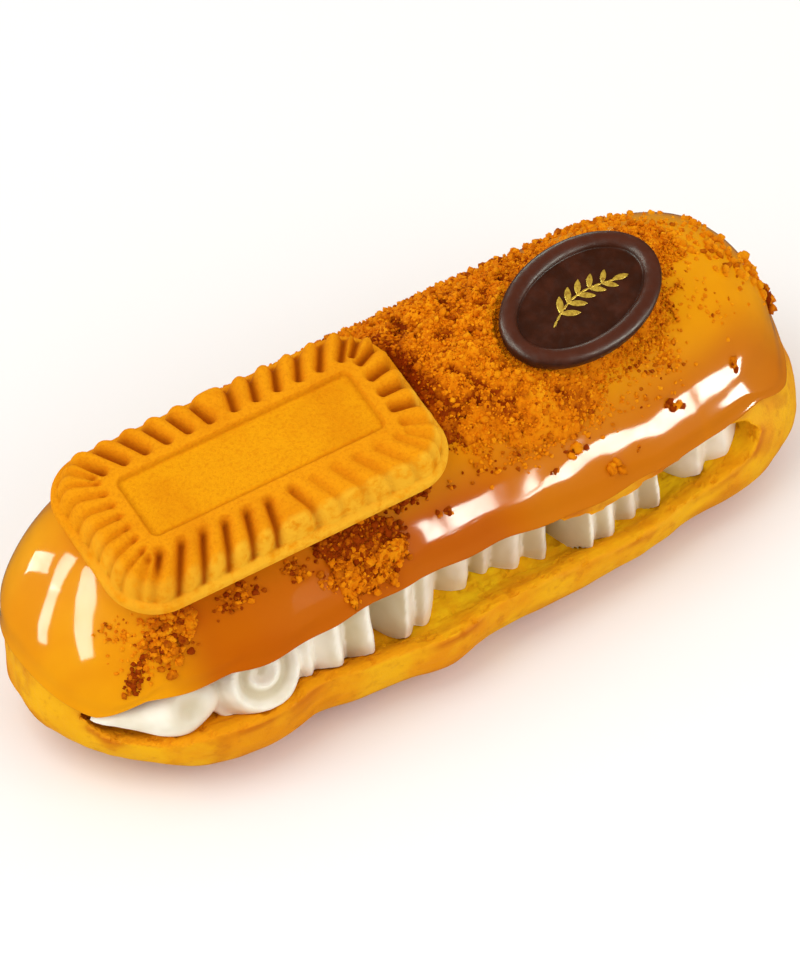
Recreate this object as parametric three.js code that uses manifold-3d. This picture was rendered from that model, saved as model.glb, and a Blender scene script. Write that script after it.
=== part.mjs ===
// A filled eclair: a choux bun slit along its front, piped cream in the slit, caramel icing
// over the top, and on the icing a fluted biscuit, heaps of biscuit crumbs and an oval plaque.
import * as THREE from "three";
import { mergeVertices } from "three/addons/utils/BufferGeometryUtils.js";
import Module from "manifold-3d";

const { clamp, degToRad, lerp, smoothstep } = THREE.MathUtils;
const wasm = await Module();
wasm.setup();

// Driving dimensions in millimetres: X runs along the eclair, -Y is the slit side, Z is up.
const GAP = 0.3; // clearance between neighbouring pieces
const BUN = {
  length: 146,
  front: 26.8, // half-width on the slit side
  back: 25.5, // half-width on the closed side
  taper: 0.018, // loss of half-width on the slit side per millimetre along X
  bulge: 2.4, // swelling of the slit side near the left end
  bulgeAt: -45,
  bulgeReach: 15,
  waist: 11.5, // height of the widest level
  crown: 39.4, // height of the top
  rise: 0.014, // gain of height per millimetre along X
  sunk: 1.6, // depth of the round underside that the flat bottom cuts off
  setback: 1.6, // how far the top stands behind the base
  endSetback: 3.2, // how far the top's right end stands in from the base's in front
  endFrom: 0.4, // share of the half-length from which that setback grows
  rightSetback: 1.6, // how far the top's front stands further back at the right
  rightFrom: 30,
  rightTo: 52,
  lidLevel: 27.5, // height from which the setbacks are complete
  bluntLeft: 3.1, // bluntness of the ends seen from above
  bluntRight: 5.2,
  bluntTopLeft: 6.6, // bluntness of the ends seen from the side
  bluntTopRight: 8,
  tuck: 1, // how far the left end is pushed in
  tuckLow: 3, // how much further its underside curls in
  tuckFrom: 0.5, // share of the half-length from which it is pushed in
  sidePower: 0.46, // curve of the ends, about a half for an ellipse
  topPower: 0.5,
  frontShoulder: 0.96, // curve of the section, 1 for an ellipse and less for a fuller one
  backShoulder: 0.84,
  underside: 0.8,
  around: 40,
  along: 29,
};
// Swellings and dents of the base's front: place, reach and size
const WOBBLE = [
  [-57, 9, 2.2],
  [-32, 6, -2],
  [-9, 7, 1.8],
  [42, 9, -1.6],
];
const SLIT = {
  left: -67.5,
  right: 56,
  open: 10, // height of the opening in the middle
  narrow: 0.025, // loss of that height per millimetre along X
  tipOpen: 0.8, // height of the opening at its tips
  level: 18.9, // height of the opening's middle line
  tilt: 0.03, // fall of that line per millimetre along X
  droop: 5, // fall of that line at the left tip
  lowLeft: 2.5, // how much further the lower lip falls there
  lowFrom: 50,
  lowTo: 64,
  sag: 1.2, // dip of that line on the right
  sagAt: 34,
  sagReach: 16,
  back: 7, // depth that the slit reaches, measured as Y
  tipBack: 14, // loss of that depth at the tips
  dish: 3.2, // depth of the hollow behind the base's rim
  dishWide: 6,
  rimWide: 1,
  tipPower: 0.45, // curve of the opening's ends
  bluntLeft: 4, // bluntness of the left tip and of the right
  bluntRight: 8,
  lift: 1.5, // how much higher the upper lip stands on the left
  liftFrom: 0,
  liftTo: 12,
  liftRight: 1.4, // how much higher it stands at the right
  liftRightFrom: 35,
  liftRightTo: 52,
  lowRoof: 1.8, // how much lower it hangs between
  lowRoofAt: 22,
  lowRoofReach: 9,
  clear: 36, // front end of the cutting form
};
const ICING = {
  thick: 1.5,
  backLevel: 24, // mean height of the edge on the closed side
  wave: 0.9,
  pitch: 46,
  leftDrop: 4, // how much lower the edge lies round the left end
  leftFrom: 55,
  leftTo: 69,
  turnFrom: -18, // Y between which the edge passes from the slit to the closed side
  turnTo: 0,
};
// Height of the icing's edge above the slit: place along the bun and height
const EDGE = [
  [-67, 17.6],
  [-60, 21.2],
  [-47, 24.4],
  [-28, 24.7],
  [-12, 25.8],
  [3, 25],
  [19, 23.6],
  [32, 23.5],
  [43, 22.6],
  [50, 22.9],
  [58, 21.8],
  [65, 18.9],
];
const CREAM = { inset: 3.9, deep: 7, ribs: 7, ribDepth: 0.1, overlap: 1.12, tall: 0.6, tip: 3.5 };
const LOBES = [6.4, 7.2, 6.2, 5, 4.8, 5.2, 5.4, 4.8, 4.3, 4.1, 4.8]; // half-widths, left to right
const BISCUIT = {
  length: 61,
  width: 32,
  thick: 6.4,
  corner: 8,
  skirt: 1.8, // height of the smooth sloping edge
  skirtWide: 1.7,
  shoulder: 1.3, // height and width of the rounding at the top
  panelLength: 42.8,
  panelWidth: 12.6,
  panelCorner: 1.2,
  panelDepth: 0.6,
  frame: 1.5, // plain border round the panel
  fluteWidth: 1.5,
  fluteLength: 11,
  fluteFall: 0.13, // slope of a flute's floor in radians
  flutesPerSide: 12,
  flutesPerEnd: 5,
  fanInner: 0.22, // slant of a side's middle flutes in radians
  fanOuter: 0.7, // slant of a side's last flutes
  fanEnd: 0.52, // slant of an end's last flutes
};
const BISCUIT_AT = { x: -30, y: -2.2, z: 40.6, roll: 8.6, pitch: -1.8, yaw: -1.2 };
const PLAQUE = { length: 31.2, width: 20.8, thick: 3.4, rim: 3.1, sink: 1.3, edge: 0.9 };
const PLAQUE_AT = { x: 31.8, y: -2.9, z: 44.6, roll: 10.5, pitch: -3, yaw: 12.4 };
const RAGGED = { coarse: 0.1, fine: 0.06 }; // uneven outline of a crumb heap, as shares of its radius
const CRUMB = { size: 1.6, spread: 0.4, bite: 0.3, bump: 0.5, root: 1.5 };
const BED = { x: 20.5, y: 1.8, long: 30.5, wide: 17, high: 4.6, lean: -0.05, count: 30, turn: 0.6, seed: 7 };
const SPILL = { x: -20.2, y: -18.5, long: 7.8, wide: 4.4, high: 2.5, lean: 0, count: 8, turn: 2, seed: 11 };

// A repeatable random number generator
function seeded(seed) {
  let state = seed;
  return () => {
    state = (Math.imul(state, 1664525) + 1013904223) >>> 0;
    return state / 2 ** 32;
  };
}

// A signed power, for rounded box sections
function bend(value, power) {
  return Math.sign(value) * Math.abs(value) ** power;
}

// Moves every vertex of a geometry to the place that a function gives it
function mould(geometry, place) {
  const spots = geometry.getAttribute("position");
  const spot = new THREE.Vector3();
  for (let i = 0; i < spots.count; i += 1) {
    spot.fromBufferAttribute(spots, i);
    place(spot);
    spots.setXYZ(i, spot.x, spot.y, spot.z);
  }
  return geometry;
}

// A closed geometry as a solid that can be joined and cut
function solid(geometry) {
  const bare = geometry.index ? geometry.toNonIndexed() : geometry.clone();
  bare.deleteAttribute("normal");
  bare.deleteAttribute("uv");
  const welded = mergeVertices(bare, 1e-4);
  const vertProperties = Float32Array.from(welded.getAttribute("position").array);
  const triVerts = Uint32Array.from(welded.index.array);
  return new wasm.Manifold(new wasm.Mesh({ numProp: 3, vertProperties, triVerts }));
}

// The largest body of a solid as a geometry
function shape(body) {
  const pieces = body.decompose();
  pieces.sort((a, b) => b.volume() - a.volume());
  const mesh = pieces[0].getMesh();
  const geometry = new THREE.BufferGeometry();
  const spots = Float32Array.from(mesh.vertProperties);
  geometry.setAttribute("position", new THREE.BufferAttribute(spots, 3));
  geometry.setIndex(Array.from(mesh.triVerts));
  geometry.computeVertexNormals();
  return geometry;
}

// The matrix of a piece that lies tilted on the icing
function pose(at) {
  const turn = new THREE.Euler(degToRad(at.roll), degToRad(at.pitch), degToRad(at.yaw), "ZYX");
  const place = new THREE.Matrix4().makeTranslation(at.x, at.y, at.z);
  return place.multiply(new THREE.Matrix4().makeRotationFromEuler(turn));
}

// How far the base's front swells at a place along the bun
function wobble(x) {
  return WOBBLE.reduce((sum, [at, reach, size]) => sum + size * Math.exp(-(((x - at) / reach) ** 2)), 0);
}

// A point on the bun's skin, or on a skin that lies outside it
function bunPoint(share, angle, skin) {
  const x = (BUN.length / 2 + skin) * share;
  const blunt = share < 0 ? BUN.bluntLeft : BUN.bluntRight;
  const wide = (1 - Math.abs(share) ** blunt) ** BUN.sidePower;
  const bluntTop = share < 0 ? BUN.bluntTopLeft : BUN.bluntTopRight;
  const tall = (1 - Math.abs(share) ** bluntTop) ** BUN.topPower;
  const across = Math.cos(angle);
  const up = Math.sin(angle);
  const swelling = BUN.bulge * Math.exp(-(((x - BUN.bulgeAt) / BUN.bulgeReach) ** 2));
  const half = across < 0 ? BUN.front - BUN.taper * x + swelling : BUN.back;
  const height = up > 0 ? BUN.crown + BUN.rise * x - BUN.waist : BUN.waist + BUN.sunk;
  const shoulder = across < 0 ? BUN.frontShoulder : BUN.backShoulder;
  const power = up > 0 ? shoulder : BUN.underside;
  const z = BUN.waist + (height + skin) * tall * bend(up, power);
  const lid = smoothstep(z, BUN.waist, BUN.lidLevel);
  const low = 1 - smoothstep(z, 0, BUN.waist);
  const standsIn = (BUN.endSetback * lid * smoothstep(share, BUN.endFrom, 1) * (1 - across)) / 2;
  const pushedIn = (BUN.tuck + BUN.tuckLow * low) * smoothstep(-share, BUN.tuckFrom, 1);
  const standsBack = (BUN.rightSetback * smoothstep(x, BUN.rightFrom, BUN.rightTo) * (1 - across)) / 2;
  const uneven = wobble(x) * wide * (1 - lid) * Math.max(-across, 0);
  const y = (half + skin) * wide * bend(across, power) + (BUN.setback + standsBack) * lid - uneven;
  return new THREE.Vector3(x - standsIn + pushedIn, y, Math.max(z, 0));
}

// Place along the bun as a share of its half-length, kept just off the tips
function bunShare(x, skin) {
  return clamp(x / (BUN.length / 2 + skin), -0.999, 0.999);
}

// The bun as a closed form with round ends, grown by a skin
function bunForm(skin) {
  const ball = new THREE.SphereGeometry(1, BUN.around, BUN.along);
  ball.rotateZ(-Math.PI / 2);
  return mould(ball, (spot) => {
    spot.copy(bunPoint(clamp(spot.x, -1, 1), Math.atan2(spot.z, spot.y), skin));
  });
}

// Height of the bun's top at a place seen from above, on a skin that lies outside it
function topAt(x, y, skin) {
  const share = bunShare(x, skin);
  let back = 0;
  let front = Math.PI;
  for (let step = 0; step < 24; step += 1) {
    const middle = (back + front) / 2;
    if (bunPoint(share, middle, skin).y > y) back = middle;
    else front = middle;
  }
  return bunPoint(share, back, skin).z;
}

// Y of the bun's foremost line at a place along it
function frontAt(x) {
  return bunPoint(bunShare(x, 0), Math.PI, 0).y;
}

// Place along the slit, -1 at its left tip and 1 at its right tip
function slitShare(x) {
  const middle = (SLIT.left + SLIT.right) / 2;
  return clamp((x - middle) / (SLIT.right - middle), -1, 1);
}

// How far the slit is open at a place, 0 at its tips and 1 in the middle
function slitFullness(x) {
  const share = slitShare(x);
  return 1 - Math.abs(share) ** (share < 0 ? SLIT.bluntLeft : SLIT.bluntRight);
}

// Lower and upper lip of the slit
function lips(x) {
  const share = slitShare(x);
  const fullness = slitFullness(x);
  const dip = SLIT.sag * Math.exp(-(((x - SLIT.sagAt) / SLIT.sagReach) ** 2));
  const droop = SLIT.droop * Math.max(-share, 0) ** 4;
  const middle = SLIT.level - SLIT.tilt * x - dip - droop;
  const open = (SLIT.open - SLIT.narrow * x) * fullness ** SLIT.tipPower;
  const half = Math.max(open, SLIT.tipOpen) / 2;
  const left = SLIT.lift * (1 - smoothstep(x, SLIT.liftFrom, SLIT.liftTo));
  const right = SLIT.liftRight * smoothstep(x, SLIT.liftRightFrom, SLIT.liftRightTo);
  const roof = SLIT.lowRoof * Math.exp(-(((x - SLIT.lowRoofAt) / SLIT.lowRoofReach) ** 2));
  const fall = SLIT.lowLeft * smoothstep(-x, SLIT.lowFrom, SLIT.lowTo);
  return { low: middle - half - fall, high: middle + half + (left + right) * fullness - roof };
}

// The slit as a closed form, with a dished floor behind the base's rim, shrunk by a margin
function slitForm(margin) {
  const box = new THREE.BoxGeometry(1, 1, 1, 32, 8, 1);
  const outside = 0.2; // share of the rows that lies in front of the bun
  return mould(box, (spot) => {
    const x = lerp(SLIT.left + margin, SLIT.right - margin, spot.x + 0.5);
    const fullness = slitFullness(x);
    const back = SLIT.back - margin - SLIT.tipBack * (1 - fullness);
    const rim = frontAt(x) + SLIT.rimWide;
    const row = spot.y + 0.5;
    const inward = (Math.max(row - outside, 0) / (1 - outside)) ** 1.6;
    const y = row < outside ? lerp(-SLIT.clear, rim, row / outside) : lerp(rim, back, inward);
    const { low, high } = lips(x);
    const floor = low + margin - SLIT.dish * fullness * smoothstep(y, rim, rim + SLIT.dishWide);
    spot.set(x, y, spot.z > 0 ? Math.max(high - margin, floor + margin) : floor);
  });
}

// The choux bun with its slit
function makeChoux() {
  return shape(solid(bunForm(0)).subtract(solid(slitForm(0))));
}

// Height of the icing's edge above the slit, straight between the places that are given
function frontEdge(x) {
  const at = clamp(x, EDGE[0][0], EDGE.at(-1)[0]);
  const next = Math.max(EDGE.findIndex(([place]) => place >= at), 1);
  const [fromX, fromZ] = EDGE[next - 1];
  const [toX, toZ] = EDGE[next];
  return lerp(fromZ, toZ, (at - fromX) / (toX - fromX));
}

// Height of the icing's lower edge: above the slit in front, wavy behind
function icingEdge(x, y) {
  const wavy = ICING.backLevel + ICING.wave * Math.sin((2 * Math.PI * x) / ICING.pitch);
  const back = wavy - ICING.leftDrop * smoothstep(-x, ICING.leftFrom, ICING.leftTo);
  return lerp(frontEdge(x), back, smoothstep(y, ICING.turnFrom, ICING.turnTo));
}

// Icing as a thin skin over the bun's top
function makeIcing() {
  const block = new THREE.BoxGeometry(1.2 * BUN.length, 3 * BUN.front, 1, 48, 10, 1);
  mould(block, (spot) => {
    spot.z = spot.z > 0 ? 2 * BUN.crown : icingEdge(spot.x, spot.y);
  });
  const skin = solid(bunForm(ICING.thick)).subtract(solid(bunForm(GAP)));
  return shape(skin.intersect(solid(block)));
}

// One piped lobe: an upright ribbed ball
function lobeForm(centre, wide, deep, tall) {
  const ball = new THREE.SphereGeometry(1, 3 * CREAM.ribs, 7);
  ball.rotateX(Math.PI / 2);
  return mould(ball, (spot) => {
    const rib = 1 + CREAM.ribDepth * Math.cos(CREAM.ribs * Math.atan2(spot.y, spot.x));
    spot.set(wide * rib * spot.x, deep * rib * spot.y, tall * spot.z).add(centre);
  });
}

// Cream piped as a row of ribbed lobes in front of a plain core that fills the slit
function makeCream() {
  const heart = (x) => frontAt(x) + wobble(x) + CREAM.inset + CREAM.deep;
  const core = new THREE.BoxGeometry(1, 1, 1, 24, 1, 1);
  mould(core, (spot) => {
    const x = lerp(SLIT.left + CREAM.tip, SLIT.right - CREAM.tip, spot.x + 0.5);
    spot.set(x, spot.y > 0 ? 2 * SLIT.back : heart(x), spot.z > 0 ? BUN.crown : 0);
  });
  let cream = solid(core);
  let x = SLIT.left + CREAM.tip + GAP;
  for (const half of LOBES) {
    x += half;
    const { low, high } = lips(x);
    const floor = low - SLIT.dish;
    const centre = new THREE.Vector3(x, heart(x), (floor + high) / 2);
    const lobe = lobeForm(centre, half * CREAM.overlap, CREAM.deep, (high - floor) * CREAM.tall);
    cream = cream.add(solid(lobe));
    x += half;
  }
  return shape(cream.intersect(solid(slitForm(GAP))));
}

// A rectangle with round corners, centred
function roundedRectangle(length, width, radius) {
  const outline = new THREE.Shape();
  const x = length / 2 - radius;
  const y = width / 2 - radius;
  outline.absarc(x, y, radius, 0, Math.PI / 2);
  outline.absarc(-x, y, radius, Math.PI / 2, Math.PI);
  outline.absarc(-x, -y, radius, Math.PI, 1.5 * Math.PI);
  outline.absarc(x, -y, radius, 1.5 * Math.PI, 2 * Math.PI);
  outline.closePath();
  return outline;
}

// A slab with round corners whose top is drawn in by a slope
function slab(length, width, radius, low, high, slope) {
  const outline = roundedRectangle(length, width, radius);
  const form = new THREE.ExtrudeGeometry(outline, { depth: 1, bevelEnabled: false, curveSegments: 6 });
  return mould(form, (spot) => {
    const top = spot.z > 0.5;
    const x = top ? spot.x * (1 - (2 * slope) / length) : spot.x;
    const y = top ? spot.y * (1 - (2 * slope) / width) : spot.y;
    spot.set(x, y, top ? high : low);
  });
}

// A groove that runs from the biscuit's frame outwards and down over the edge
function flute(x, y, heading) {
  const { fluteWidth, fluteLength, fluteFall, thick } = BISCUIT;
  const form = new THREE.CylinderGeometry(fluteWidth / 2, 0.6 * fluteWidth, fluteLength, 4);
  form.rotateZ(-Math.PI / 2);
  form.translate(fluteLength / 2, 0, 0);
  form.rotateY(fluteFall);
  form.rotateZ(heading);
  form.translate(x, y, thick);
  return solid(form);
}

// The flutes along both sides and both ends of the biscuit, in a fan from its middle
function flutes() {
  const { frame, flutesPerSide, flutesPerEnd, fanInner, fanOuter, fanEnd } = BISCUIT;
  const x = BISCUIT.panelLength / 2 + frame;
  const y = BISCUIT.panelWidth / 2 + frame;
  const grooves = [];
  for (let i = 0; i < flutesPerSide; i += 1) {
    const place = (2 * i + 1) / flutesPerSide - 1;
    const lean = Math.sign(place) * lerp(fanInner, fanOuter, Math.abs(place));
    grooves.push(flute(place * x, y, Math.PI / 2 - lean));
    grooves.push(flute(place * x, -y, lean - Math.PI / 2));
  }
  for (let i = 0; i < flutesPerEnd; i += 1) {
    const place = (2 * i + 1) / flutesPerEnd - 1;
    grooves.push(flute(x, place * y, place * fanEnd));
    grooves.push(flute(-x, place * y, Math.PI - place * fanEnd));
  }
  return grooves;
}

// The fluted biscuit in its own frame, bottom centre at the origin
function makeBiscuit() {
  const { length, width, thick, corner, skirt, skirtWide, shoulder } = BISCUIT;
  const wall = [length - 2 * skirtWide, width - 2 * skirtWide, corner - skirtWide];
  const tiers = [
    slab(length, width, corner, 0, skirt, skirtWide),
    slab(...wall, skirt / 2, thick - shoulder, 0),
    slab(...wall, thick - shoulder - GAP, thick, shoulder),
  ];
  let body = tiers.map(solid).reduce((whole, tier) => whole.add(tier));
  const { panelLength, panelWidth, panelCorner, panelDepth } = BISCUIT;
  const panel = slab(panelLength, panelWidth, panelCorner, thick - panelDepth, thick + panelDepth, 0);
  body = body.subtract(solid(panel));
  return shape(flutes().reduce((whole, groove) => whole.subtract(groove), body));
}

// The oval plaque in its own frame: a flat field inside a round raised rim
function makePlaque() {
  const { length, width, thick, rim, sink, edge } = PLAQUE;
  const half = length / 2;
  const profile = new THREE.Path();
  profile.moveTo(0, 0);
  profile.lineTo(half - edge, 0);
  profile.quadraticCurveTo(half, 0, half, thick / 2);
  profile.quadraticCurveTo(half, thick, half - rim / 2, thick);
  profile.quadraticCurveTo(half - rim, thick, half - rim, thick - sink);
  profile.lineTo(0, thick - sink);
  const turned = new THREE.LatheGeometry(profile.getPoints(3), 28);
  turned.rotateX(Math.PI / 2);
  return mould(turned, (spot) => {
    const radius = Math.hypot(spot.x, spot.y);
    const inset = half - radius;
    const field = ((width / 2 - rim) * radius) / (half - rim);
    const short = inset < rim ? width / 2 - inset : field;
    spot.y *= radius > 0 ? short / radius : 0;
  });
}

// Room kept free of crumbs above and round the biscuit and the plaque
function toppingsRoom() {
  const { length, width, corner, thick } = BISCUIT;
  const oblong = slab(length + 2 * GAP, width + 2 * GAP, corner + GAP, -GAP, 3 * thick, 0);
  const high = 4 * PLAQUE.thick;
  const oval = new THREE.CylinderGeometry(1, 1, high, 40);
  oval.rotateX(Math.PI / 2);
  oval.scale(PLAQUE.length / 2 + GAP, PLAQUE.width / 2 + GAP, 1);
  oval.translate(0, 0, high / 2 - GAP);
  return solid(oblong.applyMatrix4(pose(BISCUIT_AT))).add(solid(oval.applyMatrix4(pose(PLAQUE_AT))));
}

// A heap of crumbs that lies on the icing: a low bumpy core with single crumbs fused on
function makeHeap(heap) {
  const skin = ICING.thick + GAP;
  const random = seeded(heap.seed);
  const ragged = (angle) =>
    1 + RAGGED.coarse * Math.sin(3 * angle + heap.turn) + RAGGED.fine * Math.sin(7 * angle);
  const spread = (angle, share) => [
    heap.x + heap.long * share * ragged(angle) * Math.cos(angle),
    heap.y + heap.wide * share * ragged(angle) * Math.sin(angle),
  ];
  const heightAt = (share, y) => (heap.high + heap.lean * (y - heap.y)) * (1 - share ** 4);
  const core = new THREE.SphereGeometry(1, 18, 8);
  core.rotateX(Math.PI / 2);
  mould(core, (spot) => {
    const share = Math.hypot(spot.x, spot.y);
    const [x, y] = spread(Math.atan2(spot.y, spot.x), share);
    const bump = CRUMB.bump * (1 - share) * Math.sin(1.7 * x) * Math.sin(1.9 * y + x);
    const over = spot.z > -1e-6 ? heightAt(share, y) + bump : -CRUMB.root;
    spot.set(x, y, topAt(x, y, skin) + over);
  });
  let body = solid(core);
  for (let i = 0; i < heap.count; i += 1) {
    const share = Math.sqrt(random());
    const [x, y] = spread(2 * Math.PI * random(), share);
    const size = CRUMB.size * (1 + CRUMB.spread * (2 * random() - 1));
    const grain = new THREE.IcosahedronGeometry(size, 0);
    grain.scale(1, 0.7 + 0.5 * random(), 0.7 + 0.3 * random());
    grain.rotateX(Math.PI * random());
    grain.rotateZ(Math.PI * random());
    grain.translate(x, y, topAt(x, y, skin) + heightAt(share, y) + size * CRUMB.bite);
    body = body.add(solid(grain));
  }
  return shape(body.subtract(solid(bunForm(skin))).subtract(toppingsRoom()));
}

const finish = (color, roughness) => new THREE.MeshStandardMaterial({ color, roughness, metalness: 0 });
const crumbFinish = finish(0xc8720c, 0.9);
const eclair = new THREE.Group();

// Adds a named piece, at a place of its own where it has one
function addPiece(name, geometry, material, at) {
  const mesh = new THREE.Mesh(geometry, material);
  mesh.name = name;
  if (at) mesh.applyMatrix4(pose(at));
  eclair.add(mesh);
}

addPiece("choux", makeChoux(), finish(0xd99a2b, 0.6));
addPiece("cream", makeCream(), finish(0xf3ead6, 0.5));
addPiece("icing", makeIcing(), finish(0xcf7d10, 0.22));
addPiece("biscuit", makeBiscuit(), finish(0xd98a1c, 0.8), BISCUIT_AT);
addPiece("plaque", makePlaque(), finish(0x3a1c14, 0.35), PLAQUE_AT);
addPiece("crumb_bed", makeHeap(BED), crumbFinish);
addPiece("crumb_spill", makeHeap(SPILL), crumbFinish);

// The origin is the middle of the underside of the whole
const box = new THREE.Box3().setFromObject(eclair, true);
const middle = box.getCenter(new THREE.Vector3());
eclair.position.set(-middle.x, -middle.y, -box.min.z);

export default eclair;
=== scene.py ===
"""Dresses a filled eclair: baked choux, piped cream, caramel icing, a fluted biscuit, crumbs and a plaque.

Sizes are millimetres and meshes are turned to metres when they are finished. +X runs along the eclair,
-Y is the slit side and +Z is up. Shapes start as bmesh primitives whose vertices are moulded by formulas.
"""

import logging
import math
from dataclasses import dataclass
from enum import Enum

import bmesh
import bpy
import numpy as np
from bmesh.types import BMesh, BMVert
from bpy.types import Material, Object
from mathutils import Matrix, Vector, noise
from mathutils.bvhtree import BVHTree


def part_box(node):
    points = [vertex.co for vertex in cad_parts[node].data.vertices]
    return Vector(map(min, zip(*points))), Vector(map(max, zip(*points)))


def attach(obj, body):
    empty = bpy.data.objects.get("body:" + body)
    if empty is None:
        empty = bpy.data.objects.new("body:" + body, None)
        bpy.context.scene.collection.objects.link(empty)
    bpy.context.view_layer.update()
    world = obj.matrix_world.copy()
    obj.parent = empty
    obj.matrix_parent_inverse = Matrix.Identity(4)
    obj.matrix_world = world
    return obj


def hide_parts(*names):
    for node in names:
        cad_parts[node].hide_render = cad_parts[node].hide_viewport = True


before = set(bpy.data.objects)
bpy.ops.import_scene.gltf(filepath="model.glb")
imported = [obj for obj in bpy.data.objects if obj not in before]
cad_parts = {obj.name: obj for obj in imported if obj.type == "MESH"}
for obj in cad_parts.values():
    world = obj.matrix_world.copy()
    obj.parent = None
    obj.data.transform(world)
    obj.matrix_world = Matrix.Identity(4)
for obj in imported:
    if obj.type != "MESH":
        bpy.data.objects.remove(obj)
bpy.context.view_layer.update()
MM = 0.001
GAP = 0.3
Array = np.ndarray
LOG = logging.getLogger("eclair")


class Slot(Enum):
    """Names of the material slots."""

    CHOUX = "choux"
    CREAM = "cream"
    ICING = "icing"
    BISCUIT = "biscuit"
    CHOCOLATE = "chocolate"
    CRUMBS = "crumbs"


def smoothstep(value: Array, low: float, high: float) -> Array:
    """Rise smoothly from 0 at low to 1 at high."""
    share = np.clip((value - low) / (high - low), 0.0, 1.0)
    return share * share * (3.0 - 2.0 * share)


def bend(value: Array, power: float) -> Array:
    """Raise to a power and keep the sign."""
    return np.sign(value) * np.abs(value) ** power


def hump(away: Array, reach: float, power: int = 2) -> Array:
    """Fall smoothly from 1 at no distance to almost 0 at twice the reach."""
    return np.exp(-((away / reach) ** power))


def inset_in(x: Array, y: Array, half_x: float, half_y: float, corner: float) -> Array:
    """Distance inwards from the outline of a rectangle with round corners, negative outside it."""
    dx, dy = np.abs(x) - (half_x - corner), np.abs(y) - (half_y - corner)
    return corner - np.hypot(np.maximum(dx, 0.0), np.maximum(dy, 0.0)) - np.minimum(np.maximum(dx, dy), 0.0)


def lumps(points: Array, size: float, octaves: int = 3, seed: float = 0.0) -> Array:
    """Smooth random lumps.

    Args:
        points: places in millimetres, one row each.
        size: width of a lump in millimetres.
        octaves: how many finer layers are added.
        seed: shifts the pattern.

    Returns:
        Heights of about -1 to 1.
    """
    shift = Vector((seed, 1.7 * seed, -seed))
    return np.array([noise.fractal(Vector(p) / size + shift, 1.0, 2.0, octaves) for p in points])


def pebbles(points: Array, size: float, seed: float = 0.0) -> Array:
    """Rounded grains that lie side by side, 1 on a grain's top and about 0 between grains."""
    shift = Vector((seed, -seed, 2.3 * seed))
    near = [noise.voronoi(Vector(p) / size + shift)[0][0] for p in points]
    return 1.0 - np.minimum(np.array(near), 1.0) ** 2 * 1.6


def as_rows(*columns: Array | float) -> Array:
    """Places as rows of an array, from the columns that they share."""
    return np.stack(np.broadcast_arrays(*columns), axis=-1)


def points_of(bm: BMesh) -> Array:
    """The vertices of a bmesh as rows of an array."""
    return np.array([vert.co for vert in bm.verts])


def mould(bm: BMesh, points: Array) -> None:
    """Move every vertex of a bmesh to its row of an array."""
    for vert, point in zip(bm.verts, points):
        vert.co = point


def ball(around: int, rows: int, axis: str = "Z") -> BMesh:
    """A unit ball to be moulded.

    Args:
        around: segments round its poles.
        rows: segments from pole to pole.
        axis: the axis that its poles lie on.

    Returns:
        The new bmesh.
    """
    turn = {"Z": Matrix.Identity(4), "X": Matrix.Rotation(math.pi / 2, 4, "Y")}[axis]
    bm = bmesh.new()
    bmesh.ops.create_uvsphere(bm, u_segments=around, v_segments=rows, radius=1.0, matrix=turn)
    return bm


def ball_shares(points: Array) -> tuple[Array, Array]:
    """How far points of a unit ball lie from its upper pole, 0 to 1, and round its axis, -0.5 to 0.5."""
    down = np.arccos(np.clip(points[:, 2], -1.0, 1.0)) / math.pi
    return down, np.arctan2(points[:, 1], points[:, 0]) / (2 * math.pi)


def block(cuts: int) -> tuple[BMesh, Array]:
    """A cube to be moulded, with cuts across every edge, and its points as shares from 0 to 1."""
    bm = bmesh.new()
    bmesh.ops.create_cube(bm, size=1.0)
    bmesh.ops.subdivide_edges(bm, edges=bm.edges, cuts=cuts, use_grid_fill=True)
    return bm, points_of(bm) + 0.5


def gather(forms: list[BMesh]) -> BMesh:
    """Join bmeshes into one and free them."""
    bm = bmesh.new()
    for form in forms:
        piece = bpy.data.meshes.new("form")
        form.to_mesh(piece)
        form.free()
        bm.from_mesh(piece)
        bpy.data.meshes.remove(piece)
    return bm


def link(name: str, data: bpy.types.ID) -> Object:
    """A new object for a mesh, light or camera, in the scene."""
    obj = bpy.data.objects.new(name, data)
    bpy.context.scene.collection.objects.link(obj)
    return obj


def aim(obj: Object, right: Vector, up: Vector, back: Vector) -> None:
    """Turn a light or camera, which looks along its -Z, by its three axes."""
    obj.rotation_mode = "QUATERNION"
    obj.rotation_quaternion = Matrix((right, up, back)).transposed().to_quaternion()


def add_values(obj: Object, name: str, values: Array) -> None:
    """Store one number for each vertex, for the piece's finish to read."""
    layer = obj.data.attributes.new(name, "FLOAT", "POINT")
    layer.data.foreach_set("value", np.asarray(values, np.float32))


def mesh_points(obj: Object, field: str = "co") -> Array:
    """Read the vertices of a mesh object, places as they are stored or normals."""
    flat = np.empty(3 * len(obj.data.vertices), np.float32)
    obj.data.vertices.foreach_get(field, flat)
    return flat.reshape(-1, 3).astype(float)


def settle(obj: Object) -> None:
    """Replace a mesh by what its modifiers make of it."""
    graph = bpy.context.evaluated_depsgraph_get()
    made = bpy.data.meshes.new_from_object(obj.evaluated_get(graph))
    obj.modifiers.clear()
    obj.data = made


def fuse(obj: Object, voxel: float, smoothing: int) -> None:
    """Fuse the shells of a mesh into one even skin.

    Args:
        obj: the mesh object.
        voxel: size of the new faces in millimetres.
        smoothing: rounds of smoothing afterwards.
    """
    skin = obj.modifiers.new("skin", "REMESH")
    skin.mode = "VOXEL"
    skin.voxel_size = voxel * MM
    soften = obj.modifiers.new("soften", "SMOOTH")
    soften.factor = 0.5
    soften.iterations = smoothing
    settle(obj)


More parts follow.
